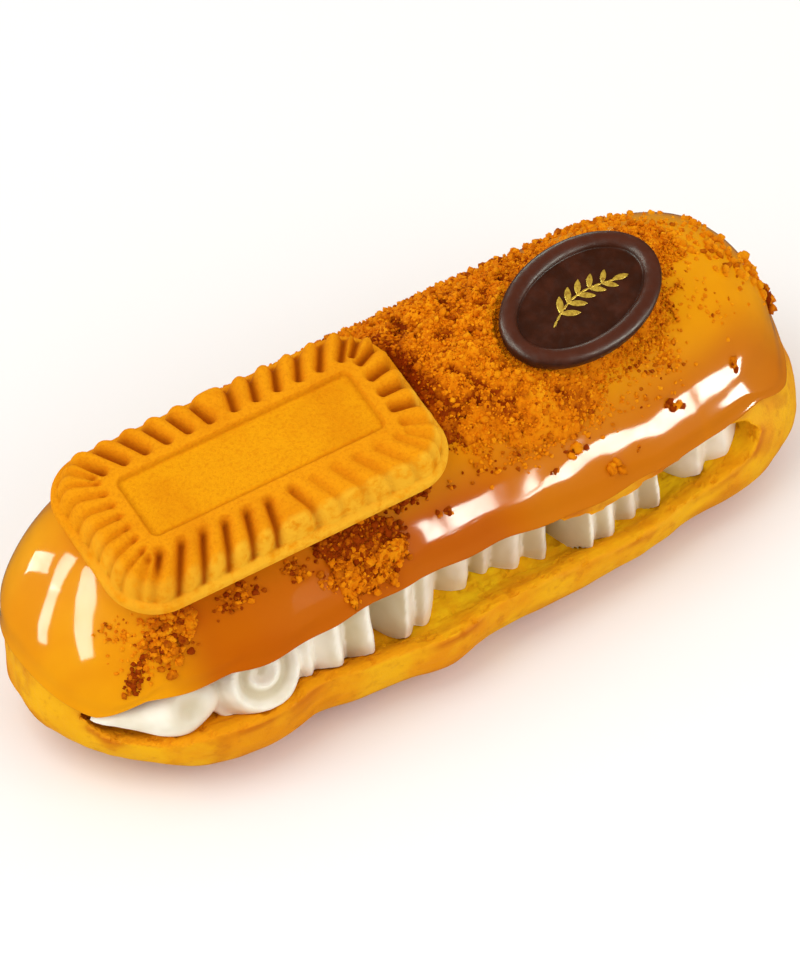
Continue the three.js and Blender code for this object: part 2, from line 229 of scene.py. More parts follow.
@dataclass(frozen=True)
class BunForm:
    """The bun's outer form, its slit and the line of the icing's lower edge."""

    length: float = 146.0
    front: float = 26.8
    back: float = 25.5
    taper: float = 0.018
    bulge: float = 2.4
    bulge_at: float = -45.0
    bulge_reach: float = 15.0
    waist: float = 11.5
    crown: float = 39.4
    rise: float = 0.014
    sunk: float = 1.6
    setback: float = 1.6
    end_setback: float = 3.2
    end_from: float = 0.4
    right_setback: float = 1.6
    right_span: tuple = (30.0, 52.0)
    lid_level: float = 27.5
    blunt_left: float = 3.1
    blunt_right: float = 5.2
    blunt_top_left: float = 6.6
    blunt_top_right: float = 8.0
    tuck: float = 1.0
    tuck_low: float = 3.0
    tuck_from: float = 0.5
    side_power: float = 0.46
    top_power: float = 0.5
    front_shoulder: float = 0.96
    back_shoulder: float = 0.84
    underside: float = 0.8
    wobbles: tuple = ((-57.0, 9.0, 2.2), (-32.0, 6.0, -2.0), (-9.0, 7.0, 1.8), (42.0, 9.0, -1.6))
    slit_left: float = -67.5
    slit_right: float = 56.0
    slit_open: float = 10.0
    slit_narrow: float = 0.025
    slit_tip: float = 0.8
    slit_level: float = 18.9
    slit_tilt: float = 0.03
    slit_droop: float = 5.0
    slit_low_left: float = 2.5
    slit_low_left_span: tuple = (50.0, 64.0)
    slit_low_left_power: float = 0.4
    slit_sag: float = 1.2
    slit_sag_at: float = 34.0
    slit_sag_reach: float = 16.0
    slit_back: float = 7.0
    slit_tip_back: float = 14.0
    slit_dish: float = 3.2
    slit_dish_wide: float = 6.0
    slit_tip_power: float = 0.45
    slit_rim: float = 1.0
    slit_lift: float = 1.5
    slit_lift_span: tuple = (0.0, 12.0)
    slit_lift_right: float = 1.4
    slit_lift_right_span: tuple = (35.0, 52.0)
    slit_low_roof: float = 1.8
    slit_low_roof_at: float = 22.0
    slit_low_roof_reach: float = 9.0
    slit_blunt_left: float = 4.0
    slit_blunt_right: float = 8.0
    icing_thick: float = 1.5
    icing_back_level: float = 24.0
    icing_wave: float = 0.9
    icing_pitch: float = 46.0
    icing_left_drop: float = 4.0
    icing_left_span: tuple = (55.0, 69.0)
    icing_turn_span: tuple = (-18.0, 0.0)
    icing_front: tuple = ((-67.0, 17.6), (-60.0, 21.2), (-47.0, 24.4), (-28.0, 24.7), (-12.0, 25.8),
                          (3.0, 25.0), (19.0, 23.6), (32.0, 23.5), (43.0, 22.6), (50.0, 22.9),
                          (58.0, 21.8), (65.0, 18.9))

    def wobble(self, x: Array) -> Array:
        """How far the base's front swells at places along the bun."""
        return sum(size * hump(x - at, reach) for at, reach, size in self.wobbles)

    def skin(self, share: Array, angle: Array, skin: Array) -> Array:
        """Points on the bun or on a skin outside it.

        Args:
            share: place along the bun, -1 to 1.
            angle: turn round its length, 0 behind, a quarter turn on top and a half turn in front.
            skin: distance outside the bun in millimetres.

        Returns:
            One row of X, Y and Z for each point.
        """
        x = (self.length / 2 + skin) * share
        blunt = np.where(share < 0, self.blunt_left, self.blunt_right)
        blunt_top = np.where(share < 0, self.blunt_top_left, self.blunt_top_right)
        wide = (1.0 - np.abs(share) ** blunt) ** self.side_power
        tall = (1.0 - np.abs(share) ** blunt_top) ** self.top_power
        swelling = self.bulge * hump(x - self.bulge_at, self.bulge_reach)
        across, up = np.cos(angle), np.sin(angle)
        half = np.where(across < 0, self.front - self.taper * x + swelling, self.back)
        height = np.where(up > 0, self.crown + self.rise * x - self.waist, self.waist + self.sunk)
        shoulder = np.where(across < 0, self.front_shoulder, self.back_shoulder)
        power = np.where(up > 0, shoulder, self.underside)
        z = self.waist + (height + skin) * tall * bend(up, power)
        lid = smoothstep(z, self.waist, self.lid_level)
        y = (half + skin) * wide * bend(across, power) + self.setback * lid
        y = y + self.right_setback * lid * smoothstep(x, *self.right_span) * (1.0 - across) / 2
        y = y - self.wobble(x) * wide * (1.0 - lid) * np.maximum(-across, 0.0)
        x = x - self.end_setback * lid * smoothstep(share, self.end_from, 1.0) * (1.0 - across) / 2
        low = 1.0 - smoothstep(z, 0.0, self.waist)
        x = x + (self.tuck + self.tuck_low * low) * smoothstep(-share, self.tuck_from, 1.0)
        return as_rows(x, y, np.maximum(z, 0.0))

    def on_top(self, x: Array, y: Array, skin: float) -> Array:
        """Points of the bun's top, or of a skin outside it, at places seen from above."""
        share = np.clip(x / (self.length / 2 + skin), -0.999, 0.999)
        behind, ahead = np.zeros_like(x), np.full_like(x, math.pi)
        for _ in range(26):
            middle = (behind + ahead) / 2
            beyond = self.skin(share, middle, skin)[..., 1] > y
            behind, ahead = np.where(beyond, middle, behind), np.where(beyond, ahead, middle)
        return self.skin(share, behind, skin)

    def front_line(self, x: Array) -> Array:
        """Y of the bun's foremost line."""
        share = np.clip(2.0 * x / self.length, -0.999, 0.999)
        return self.skin(share, np.full_like(share, math.pi), 0.0)[..., 1]

    def slit_share(self, x: Array) -> Array:
        """Place along the slit, -1 at its left tip and 1 at its right tip."""
        middle = (self.slit_left + self.slit_right) / 2
        return np.clip((x - middle) / (self.slit_right - middle), -1.0, 1.0)

    def slit_fullness(self, x: Array) -> Array:
        """How far the slit is open, 0 at its tips and 1 in the middle."""
        share = self.slit_share(x)
        return 1.0 - np.abs(share) ** np.where(share < 0, self.slit_blunt_left, self.slit_blunt_right)

    def lips(self, x: Array) -> tuple[Array, Array]:
        """Height of the slit's lower and upper lip."""
        share, fullness = self.slit_share(x), self.slit_fullness(x)
        dip = self.slit_sag * hump(x - self.slit_sag_at, self.slit_sag_reach)
        droop = self.slit_droop * np.maximum(-share, 0.0) ** 4
        middle = self.slit_level - self.slit_tilt * x - dip - droop
        opening = (self.slit_open - self.slit_narrow * x) * fullness ** self.slit_tip_power
        half = np.maximum(opening, self.slit_tip) / 2
        left, right = 1.0 - smoothstep(x, *self.slit_lift_span), smoothstep(x, *self.slit_lift_right_span)
        lift = self.slit_lift * left + self.slit_lift_right * right
        roof = self.slit_low_roof * hump(x - self.slit_low_roof_at, self.slit_low_roof_reach)
        lowered = smoothstep(-x, *self.slit_low_left_span) * fullness ** self.slit_low_left_power
        return middle - half - self.slit_low_left * lowered, middle + half + lift * fullness - roof

    def slit_floor(self, x: Array, y: Array) -> Array:
        """Height of the slit's dished floor."""
        inside = y - (self.front_line(x) + self.slit_rim)
        dish = self.slit_dish * self.slit_fullness(x) * smoothstep(inside, 0.0, self.slit_dish_wide)
        return self.lips(x)[0] - dish

    def icing_edge(self, x: Array, y: Array) -> Array:
        """Height of the icing's lower edge."""
        front = np.interp(x, *zip(*self.icing_front))
        back = self.icing_back_level + self.icing_wave * np.sin(2 * math.pi * x / self.icing_pitch)
        back = back - self.icing_left_drop * smoothstep(-x, *self.icing_left_span)
        turn = smoothstep(y, *self.icing_turn_span)
        return front + (back - front) * turn

    def offset(self) -> Array:
        """Shift from these formulas' origin to the frame's origin."""
        low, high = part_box("choux")
        share, angle = np.meshgrid(np.linspace(-1.0, 1.0, 201), np.linspace(0.0, 2 * math.pi, 121))
        form = self.skin(share, angle, 0.0)
        middle = (low + high) / (2 * MM)
        return np.array([middle.x - (form[..., 0].max() + form[..., 0].min()) / 2,
                         middle.y - (form[..., 1].max() + form[..., 1].min()) / 2, 0.0])


BUN = BunForm()
OFFSET = BUN.offset()


@dataclass(frozen=True)
class Place:
    """Where a topping lies: its bottom centre and its tilt in degrees."""

    x: float
    y: float
    z: float
    roll: float
    pitch: float
    yaw: float

    def matrix(self) -> Array:
        """Turn from the topping's own frame, as three rows."""
        turn = Matrix.Rotation(math.radians(self.yaw), 3, "Z")
        turn = turn @ Matrix.Rotation(math.radians(self.pitch), 3, "Y")
        return np.array(turn @ Matrix.Rotation(math.radians(self.roll), 3, "X"))

    def put(self, points: Array) -> Array:
        """Points of the topping's own frame, where it lies."""
        return points @ self.matrix().T + np.array([self.x, self.y, self.z])

    def own(self, points: Array) -> Array:
        """Points in the topping's own frame."""
        return (points - np.array([self.x, self.y, self.z])) @ self.matrix()


BISCUIT_AT = Place(-30.0, -2.2, 40.6, 8.6, -1.8, -1.2)
PLAQUE_AT = Place(31.8, -2.9, 44.6, 10.5, -3.0, 12.4)


def make_object(bm: BMesh, name: str) -> Object:
    """Turn a bmesh in millimetres into an object in metres, in the frame and shaded smooth.

    Args:
        bm: the bmesh, which is freed.
        name: the piece's name.

    Returns:
        The new object, in the scene.
    """
    bmesh.ops.translate(bm, vec=Vector(OFFSET), verts=bm.verts)
    bmesh.ops.scale(bm, vec=Vector((MM, MM, MM)), verts=bm.verts)
    mesh = bpy.data.meshes.new(name)
    bm.to_mesh(mesh)
    bm.free()
    for polygon in mesh.polygons:
        polygon.use_smooth = True
    return link(name, mesh)


def source_points(obj: Object) -> Array:
    """An object's vertices in millimetres, on the formulas' origin."""
    return mesh_points(obj) / MM - OFFSET


def place_points(obj: Object, points: Array) -> None:
    """Write vertices that are in millimetres, on the formulas' origin."""
    obj.data.vertices.foreach_set("co", ((points + OFFSET) * MM).astype(np.float32).ravel())
    obj.data.update()


def hand_over(obj: Object, material: Material, slot: Slot, *nodes: str) -> Object:
    """Finish a piece: give it its material and body, and hide the nodes that it stands for.

    Args:
        obj: the piece.
        material: its finish.
        slot: not used.
        nodes: the names of the nodes that it replaces.

    Returns:
        The same piece.
    """
    obj.data.materials.clear()
    obj.data.materials.append(material)
    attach(obj, "root")
    if nodes:
        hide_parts(*nodes)
    LOG.info("%s: %d faces", obj.name, len(obj.data.polygons))
    return obj


def linear(red: float, green: float, blue: float) -> tuple[float, float, float, float]:
    """A screen colour of 0 to 255 as scene-linear values."""
    parts = [c / 255.0 for c in (red, green, blue)]
    flat = [c / 12.92 if c <= 0.04045 else ((c + 0.055) / 1.055) ** 2.4 for c in parts]
    return (flat[0], flat[1], flat[2], 1.0)


@dataclass(frozen=True)
class Reading:
    """One output of a shader node, with arithmetic that adds Math nodes."""

    recipe: "Recipe"
    socket: bpy.types.NodeSocket

    def _math(self, operation: str, first: object, second: object) -> "Reading":
        """Add a Math node."""
        made = self.recipe.node("Math", {"operation": operation}, {0: first, 1: second})
        return self.recipe.read(made)

    def __add__(self, other: object) -> "Reading":
        """Sum."""
        return self._math("ADD", self, other)

    def __radd__(self, other: object) -> "Reading":
        """Sum, from the right."""
        return self._math("ADD", other, self)

    def __sub__(self, other: object) -> "Reading":
        """Difference."""
        return self._math("SUBTRACT", self, other)

    def __rsub__(self, other: object) -> "Reading":
        """Difference, from the right."""
        return self._math("SUBTRACT", other, self)

    def __mul__(self, other: object) -> "Reading":
        """Product."""
        return self._math("MULTIPLY", self, other)

    def __rmul__(self, other: object) -> "Reading":
        """Product, from the right."""
        return self._math("MULTIPLY", other, self)


class Recipe:
    """A material whose nodes are written as expressions."""

    def __init__(self, holder: Material | bpy.types.World, space: str = "Object") -> None:
        """Start empty nodes in a material or a world, with places read in one of its spaces."""
        self.holder = holder
        holder.use_nodes = True
        self.tree = holder.node_tree
        self.tree.nodes.clear()
        self.place = self.read(self.node("TexCoord"), space)

    @staticmethod
    def material(name: str) -> "Recipe":
        """Start an empty material."""
        return Recipe(bpy.data.materials.new(name))

    def node(self, kind: str, settings: dict | None = None, sockets: dict | None = None) -> bpy.types.Node:
        """Add a node.

        Args:
            kind: its type without the leading ShaderNode.
            settings: its own settings, with stops for a colour ramp.
            sockets: values or readings for its inputs, by name or number.

        Returns:
            The node.
        """
        made = self.tree.nodes.new("ShaderNode" + kind)
        for key, value in (settings or {}).items():
            if key == "stops":
                self._set_stops(made.color_ramp, value)
            else:
                setattr(made, key, value)
        for key, value in (sockets or {}).items():
            if isinstance(value, Reading):
                self.tree.links.new(value.socket, made.inputs[key])
            else:
                made.inputs[key].default_value = value
        return made

    @staticmethod
    def _set_stops(ramp: bpy.types.ColorRamp, stops: list) -> None:
        """Set a colour ramp's stops from pairs of place and colour."""
        while len(ramp.elements) < len(stops):
            ramp.elements.new(1.0)
        for element, (where, colour) in zip(ramp.elements, stops):
            element.position = where
            element.color = colour

    def read(self, made: bpy.types.Node, output: str | int = 0) -> Reading:
        """One output of a node."""
        return Reading(self, made.outputs[output])

    def noise(self, size: float, detail: float = 3.0, rough: float = 0.55, stretch: float = 1.0) -> Reading:
        """Noise with lumps of a size in millimetres, 0 to 1, stretched along X if wanted."""
        where = self.place
        if stretch != 1.0:
            mapped = self.node("Mapping", {"vector_type": "POINT"},
                               {"Vector": self.place, "Scale": (1.0 / stretch, 1.0, 1.0)})
            where = self.read(mapped)
        made = self.node("TexNoise", None, {"Vector": where, "Scale": 1.0 / (size * MM), "Detail": detail,
                                            "Roughness": rough})
        return self.read(made, 0)

    def value(self, name: str) -> Reading:
        """A number stored on the mesh."""
        return self.read(self.node("Attribute", {"attribute_name": name}), "Fac")

    def span(self, reading: Reading, low: float, high: float) -> Reading:
        """Map a range to 0 to 1 smoothly."""
        made = self.node("MapRange", {"interpolation_type": "SMOOTHSTEP"},
                         {"Value": reading, "From Min": low, "From Max": high})
        return self.read(made)

    def mix(self, share: object, first: object, second: object) -> Reading:
        """Blend two colours."""
        made = self.node("Mix", {"data_type": "RGBA"}, {0: share, 6: first, 7: second})
        return self.read(made, 2)

    def bump(self, height: Reading, deep: float, strength: float = 1.0) -> Reading:
        """A normal from a height of 0 to 1 that stands for a depth in millimetres."""
        made = self.node("Bump", None, {"Height": height, "Strength": strength, "Distance": deep * MM})
        return self.read(made)

    def serve(self, colour: object, rough: object, normal: Reading | None = None,
              **plain: object) -> Material:
        """Finish the material.

        Args:
            colour: base colour.
            rough: roughness.
            normal: bumped normal.
            plain: other sockets, with underscores for spaces.

        Returns:
            The material.
        """
        sockets = {"Base Color": colour, "Roughness": rough}
        if normal is not None:
            sockets["Normal"] = normal
        sockets.update({key.replace("_", " "): value for key, value in plain.items()})
        shader = self.node("BsdfPrincipled", None, sockets)
        self.node("OutputMaterial", None, {"Surface": self.read(shader)})
        return self.holder


@dataclass(frozen=True)
class ChouxFinish:
    """Baked choux: a golden skin with darker patches, and a spongy cut from orange to yolk yellow."""

    skin: tuple = linear(230, 144, 9)
    bright: tuple = linear(240, 175, 18)
    baked: tuple = linear(196, 100, 6)
    crumb: tuple = linear(234, 144, 10)
    yolk: tuple = linear(255, 214, 30)
    pore: tuple = linear(204, 112, 8)

    def make(self) -> Material:
        """Mix the colours by the stored cut, pit, yolk and bake values."""
        r = Recipe.material("choux")
        patch, fine = r.noise(14.0, 4.0), r.noise(2.2, 4.0, 0.65)
        skin = r.mix(r.span(patch, 0.36, 0.62), self.skin, self.bright)
        skin = r.mix(r.span(fine, 0.5, 0.8) * 0.55, skin, self.baked)
        skin = r.mix(r.value("bake"), skin, self.baked)
        cloud = r.span(r.noise(6.0, 4.0), 0.36, 0.64)
        cut = r.mix(r.value("yolk") * (0.45 + cloud * 0.55), self.crumb, self.yolk)
        cut = r.mix(r.span(r.noise(1.1, 4.0, 0.7, 2.0), 0.5, 0.72) * 0.3, cut, self.pore)
        cut = r.mix(r.value("pit") * 0.35, cut, self.pore)
        height = r.noise(0.8, 5.0, 0.7) * 0.6 + r.noise(3.0, 3.0) * 0.4
        return r.serve(r.mix(r.value("cut"), skin, cut), 0.5 + r.value("cut") * 0.3, r.bump(height, 0.5, 0.5),
                       Specular_IOR_Level=0.04)


@dataclass(frozen=True)
class IcingFinish:
    """Set caramel icing with painted shade in a deeper brown low down its sides, under a glossy film."""

    golden: tuple = linear(236, 157, 6)
    caramel: tuple = linear(226, 140, 3)
    shaded_amber: tuple = linear(188, 90, 1)

    def make(self) -> Material:
        """Mix the caramels by faint streaks, paint shade in a deeper brown low on the sides by height, and
        break the film where it has dried.
        """
        r = Recipe.material("icing")
        flow = r.noise(16.0, 3.0, 0.5, 1.8)
        colour = r.mix(r.span(flow, 0.35, 0.68), self.caramel, self.golden)
        # Painted shade: a deeper brown low on the sides, up to the biscuit's underside.
        colour = r.mix(r.value("side_shade") * (0.7 + flow * 0.5), colour, self.shaded_amber)
        film = r.value("film") * (0.72 + r.span(r.noise(4.0, 3.0), 0.3, 0.6) * 0.28)
        height = r.noise(7.0, 2.0) * 0.75 + r.noise(1.1, 3.0) * 0.1
        return r.serve(colour, 0.5, r.bump(height, 0.22, 0.07), Specular_IOR_Level=0.02, Coat_Weight=film,
                       Coat_Roughness=0.075, Coat_IOR=1.4)


@dataclass(frozen=True)
class CreamFinish:
    """Whipped cream: soft white, with painted shade in warm grey in its folds, furrows and hollows and on
    faces turned away from the light.
    """

    white: tuple = linear(250, 243, 226)
    warm: tuple = linear(196, 176, 128)

    def make(self) -> Material:
        """Paint shade in warm grey where the stored fold value says, and let light into the rest."""
        r = Recipe.material("cream")
        colour = r.mix(r.span(r.noise(6.0, 2.0), 0.4, 0.75) * 0.35, self.white, self.warm)
        # Painted shade: the stored fold value darkens recesses and faces turned to the left.
        colour = r.mix(r.value("fold"), colour, self.warm)
        height = r.noise(1.6, 3.0) * 0.5 + r.noise(5.0, 2.0) * 0.5
        return r.serve(colour, 0.42, r.bump(height, 0.25, 0.3), Specular_IOR_Level=0.06,
                       Subsurface_Weight=0.15, Subsurface_Radius=(1.0, 0.75, 0.5), Subsurface_Scale=0.6 * MM)


@dataclass(frozen=True)
class BiscuitFinish:
    """Fine-grained caramel biscuit, with painted shade in its grooves and round its panel, and paler on the
    front of its side, partly a crumbly edge and partly painted light.
    """

    panel: tuple = linear(238, 158, 13)
    ridge: tuple = linear(240, 154, 16)
    toast: tuple = linear(210, 112, 6)
    shaded_groove: tuple = linear(168, 76, 3)
    broken_and_lit: tuple = linear(246, 180, 44)

    def make(self) -> Material:
        """Grain over the panel, toasted ridges, painted shade in the grooves."""
        r = Recipe.material("biscuit")
        grain, cloud = r.noise(0.55, 4.0, 0.7), r.noise(11.0, 3.0)
        colour = r.mix(r.value("panel"), self.ridge, self.panel)
        colour = r.mix(r.span(cloud, 0.42, 0.75) * 0.4, colour, self.toast)
        colour = r.mix(r.span(grain, 0.42, 0.72) * 0.45, colour, self.toast)
        # Paler on the front of the side: partly a crumbly edge, partly painted light.
        colour = r.mix(r.value("side") * r.span(r.noise(2.2, 4.0, 0.7), 0.3, 0.55), colour, self.broken_and_lit)
        # Painted shade in the flutes and on the panel's line.
        colour = r.mix(r.value("shaded_groove") * 0.95, colour, self.shaded_groove)
        height = grain * 0.7 + r.noise(0.22, 3.0) * 0.3
        return r.serve(colour, 0.85, r.bump(height, 0.34, 0.9), Specular_IOR_Level=0.01)


@dataclass(frozen=True)
class ChocolateFinish:
    """Moulded dark chocolate with a soft satin, a trace of bloom and painted light on its raised rim."""

    dark: tuple = linear(58, 24, 7)
    warm: tuple = linear(90, 42, 24)

    def make(self) -> Material:
        """Paint the raised rim lighter as painted light, and cloud the field a little."""
        r = Recipe.material("chocolate")
        colour = r.mix(r.span(r.noise(4.0, 4.0), 0.4, 0.75) * 0.5, self.dark, self.warm)
        # Painted light: the raised rim is lighter.
        colour = r.mix(r.value("rim") * 0.6, colour, self.warm)
        rough = 0.36 + r.span(r.noise(1.2, 4.0), 0.4, 0.75) * 0.16
        return r.serve(colour, rough, r.bump(r.noise(1.6, 3.0), 0.12, 0.5), Specular_IOR_Level=0.25)


@dataclass(frozen=True)
class GoldFinish:
    """Edible gold, brushed on."""

    gold: tuple = linear(222, 182, 62)
    worn: tuple = linear(176, 130, 34)

    def make(self) -> Material:
        """Speckle the gold."""
        r = Recipe.material("gold")
        colour = r.mix(r.span(r.noise(0.5, 3.0), 0.42, 0.7), self.gold, self.worn)
        return r.serve(colour, 0.42, r.bump(r.noise(0.3, 3.0), 0.06, 0.5), Metallic=0.35,
                       Specular_IOR_Level=0.5)


@dataclass(frozen=True)
class CrumbFinish:
    """Biscuit crumbs, each with a tone of its own and painted shade near the biscuit and between grains."""

    light: tuple = linear(244, 158, 15)
    middle: tuple = linear(226, 126, 6)
    dark: tuple = linear(146, 54, 2)

    def make(self) -> Material:
        """Choose between three browns by the stored tone, which holds painted shade, and a fine grain."""
        r = Recipe.material("crumbs")
        tone = r.value("tone") * 0.75 + r.noise(1.0, 4.0, 0.7) * 0.5 - 0.12
        stops = [(0.18, self.dark), (0.45, self.middle), (0.8, self.light)]
        ramp = r.node("ValToRGB", {"stops": stops}, {0: tone})
        return r.serve(r.read(ramp), 0.85, r.bump(r.noise(0.4, 4.0, 0.7), 0.2, 0.8), Specular_IOR_Level=0.02)


@dataclass
class Choux:
    """The slit bun."""

    around: int = 160
    rows: int = 220
    voxel: float = 0.61
    smoothing: int = 3
    cuts: int = 59
    rim_front: float = 12.0
    outside: float = 0.15
    crowd: float = 1.5
    cut_reach: tuple = (0.15, 0.55)
    lump: float = 0.3
    lump_size: float = 11.0
    wrinkle: float = 0.24
    wrinkle_size: float = 5.0
    pore: float = 0.32
    pore_size: float = 1.7
    tear: float = 0.22
    tear_size: float = 2.2
    grain: tuple = (0.35, 1.0, 1.0)
    wrinkle_grain: tuple = (0.4, 1.0, 1.0)
    tray_mark: tuple = (0.5, 7.0)
    crease_at: float = -57.0
    crease_slant: float = 0.25
    crease_wide: float = 1.2
    rim_mark: tuple = (0.9, 0.7)
    pocket: tuple = (30.1, -23.4)
    pocket_half: tuple = (3.2, 1.3)
    yolk_span: tuple = (-24.0, -4.0)
    yolk_inner: tuple = (2.0, 6.0)

    def _cutter(self) -> Object:
        """The slit as a closed form."""
        bm, share = block(self.cuts)
        x = BUN.slit_left + (BUN.slit_right - BUN.slit_left) * share[:, 0]
        back = BUN.slit_back - BUN.slit_tip_back * (1.0 - BUN.slit_fullness(x))
        rim = BUN.front_line(x) + BUN.slit_rim
        row = share[:, 1]
        inward = (np.maximum(row - self.outside, 0.0) / (1.0 - self.outside)) ** self.crowd
        ahead = rim - self.rim_front * (1.0 - row / self.outside)
        y = np.where(row < self.outside, ahead, rim + (back - rim) * inward)
        floor, roof = BUN.slit_floor(x, y), BUN.lips(x)[1]
        mould(bm, as_rows(x, y, floor + (roof - floor) * share[:, 2]))
        return make_object(bm, "slit_form")

    def build(self) -> Object:
        """Cut the slit, even the skin and raise lumps and pores."""
        bm = ball(self.around, self.rows, "X")
        points = points_of(bm)
        angle = np.arctan2(points[:, 2], points[:, 1])
        mould(bm, BUN.skin(np.clip(points[:, 0], -1.0, 1.0), angle, np.zeros(len(points))))
        obj = make_object(bm, "choux_bun")
        cutter = self._cutter()
        cut = obj.modifiers.new("slit", "BOOLEAN")
        cut.operation = "DIFFERENCE"
        cut.solver = "EXACT"
        cut.object = cutter
        settle(obj)
        fuse(obj, self.voxel, self.smoothing)
        self._relief(obj, BVHTree.FromObject(cutter, bpy.context.evaluated_depsgraph_get()))
        bpy.data.objects.remove(cutter)
        return obj

    def _relief(self, obj: Object, slit: BVHTree) -> None:
        """Lumps on the baked skin, pores on the cut, and the values that the finish reads."""
        near = np.array([slit.find_nearest(vert.co)[3] for vert in obj.data.vertices]) / MM
        points, normals = source_points(obj), mesh_points(obj, "normal")
        x, y, z = points.T
        cut = 1.0 - smoothstep(near, *self.cut_reach)
        pores = smoothstep(lumps(points, self.pore_size, 3, 4.0), 0.15, 0.55) * cut
        torn = lumps(points * np.array(self.grain), self.tear_size, 3, 9.0) * cut
        wrinkle = lumps(points * np.array(self.wrinkle_grain), self.wrinkle_size, 3, 2.0)
        raised = self.lump * lumps(points, self.lump_size, 2, 1.0) + self.wrinkle * wrinkle * (1.0 - cut)
        bare = 1.0 - smoothstep(z - BUN.icing_edge(x, y), -1.0, 0.5)
        moved = (raised - self.pore * pores + self.tear * torn) * (smoothstep(z, 0.2, 3.0) * bare)
        place_points(obj, points + normals * moved[:, None])
        low = 1.0 - smoothstep(z, *self.tray_mark)
        crease = hump(x + self.crease_slant * y - self.crease_at, self.crease_wide) * (y < 0)
        edge = hump(near - self.rim_mark[0], self.rim_mark[1]) * smoothstep(wrinkle, -0.3, 0.3)
        bake = 0.75 * low + 0.4 * smoothstep(wrinkle, 0.1, 0.6) + 0.5 * edge + 0.4 * crease
        (pocket_x, pocket_y), (half_x, half_y) = self.pocket, self.pocket_half
        pocket = hump(x - pocket_x, half_x, 4) * hump(y - pocket_y, half_y, 4) * cut
        pit = 0.8 * pores + 0.5 * smoothstep(-torn, 0.05, 0.5) + pocket
        inner = smoothstep(y - BUN.front_line(x), *self.yolk_inner)
        yolk = 0.12 + 0.88 * (0.35 + 0.65 * inner) * smoothstep(x, *self.yolk_span)
        add_values(obj, "cut", cut)
        add_values(obj, "pit", np.clip(pit, 0.0, 1.0))
        add_values(obj, "bake", np.clip(bake, 0.0, 1.0) * (1.0 - cut))
        add_values(obj, "yolk", cut * np.clip(yolk, 0.0, 1.0))

    def dress(self) -> Object:
        """Build the bun and finish it."""
        return hand_over(self.build(), ChouxFinish().make(), Slot.CHOUX, "choux")


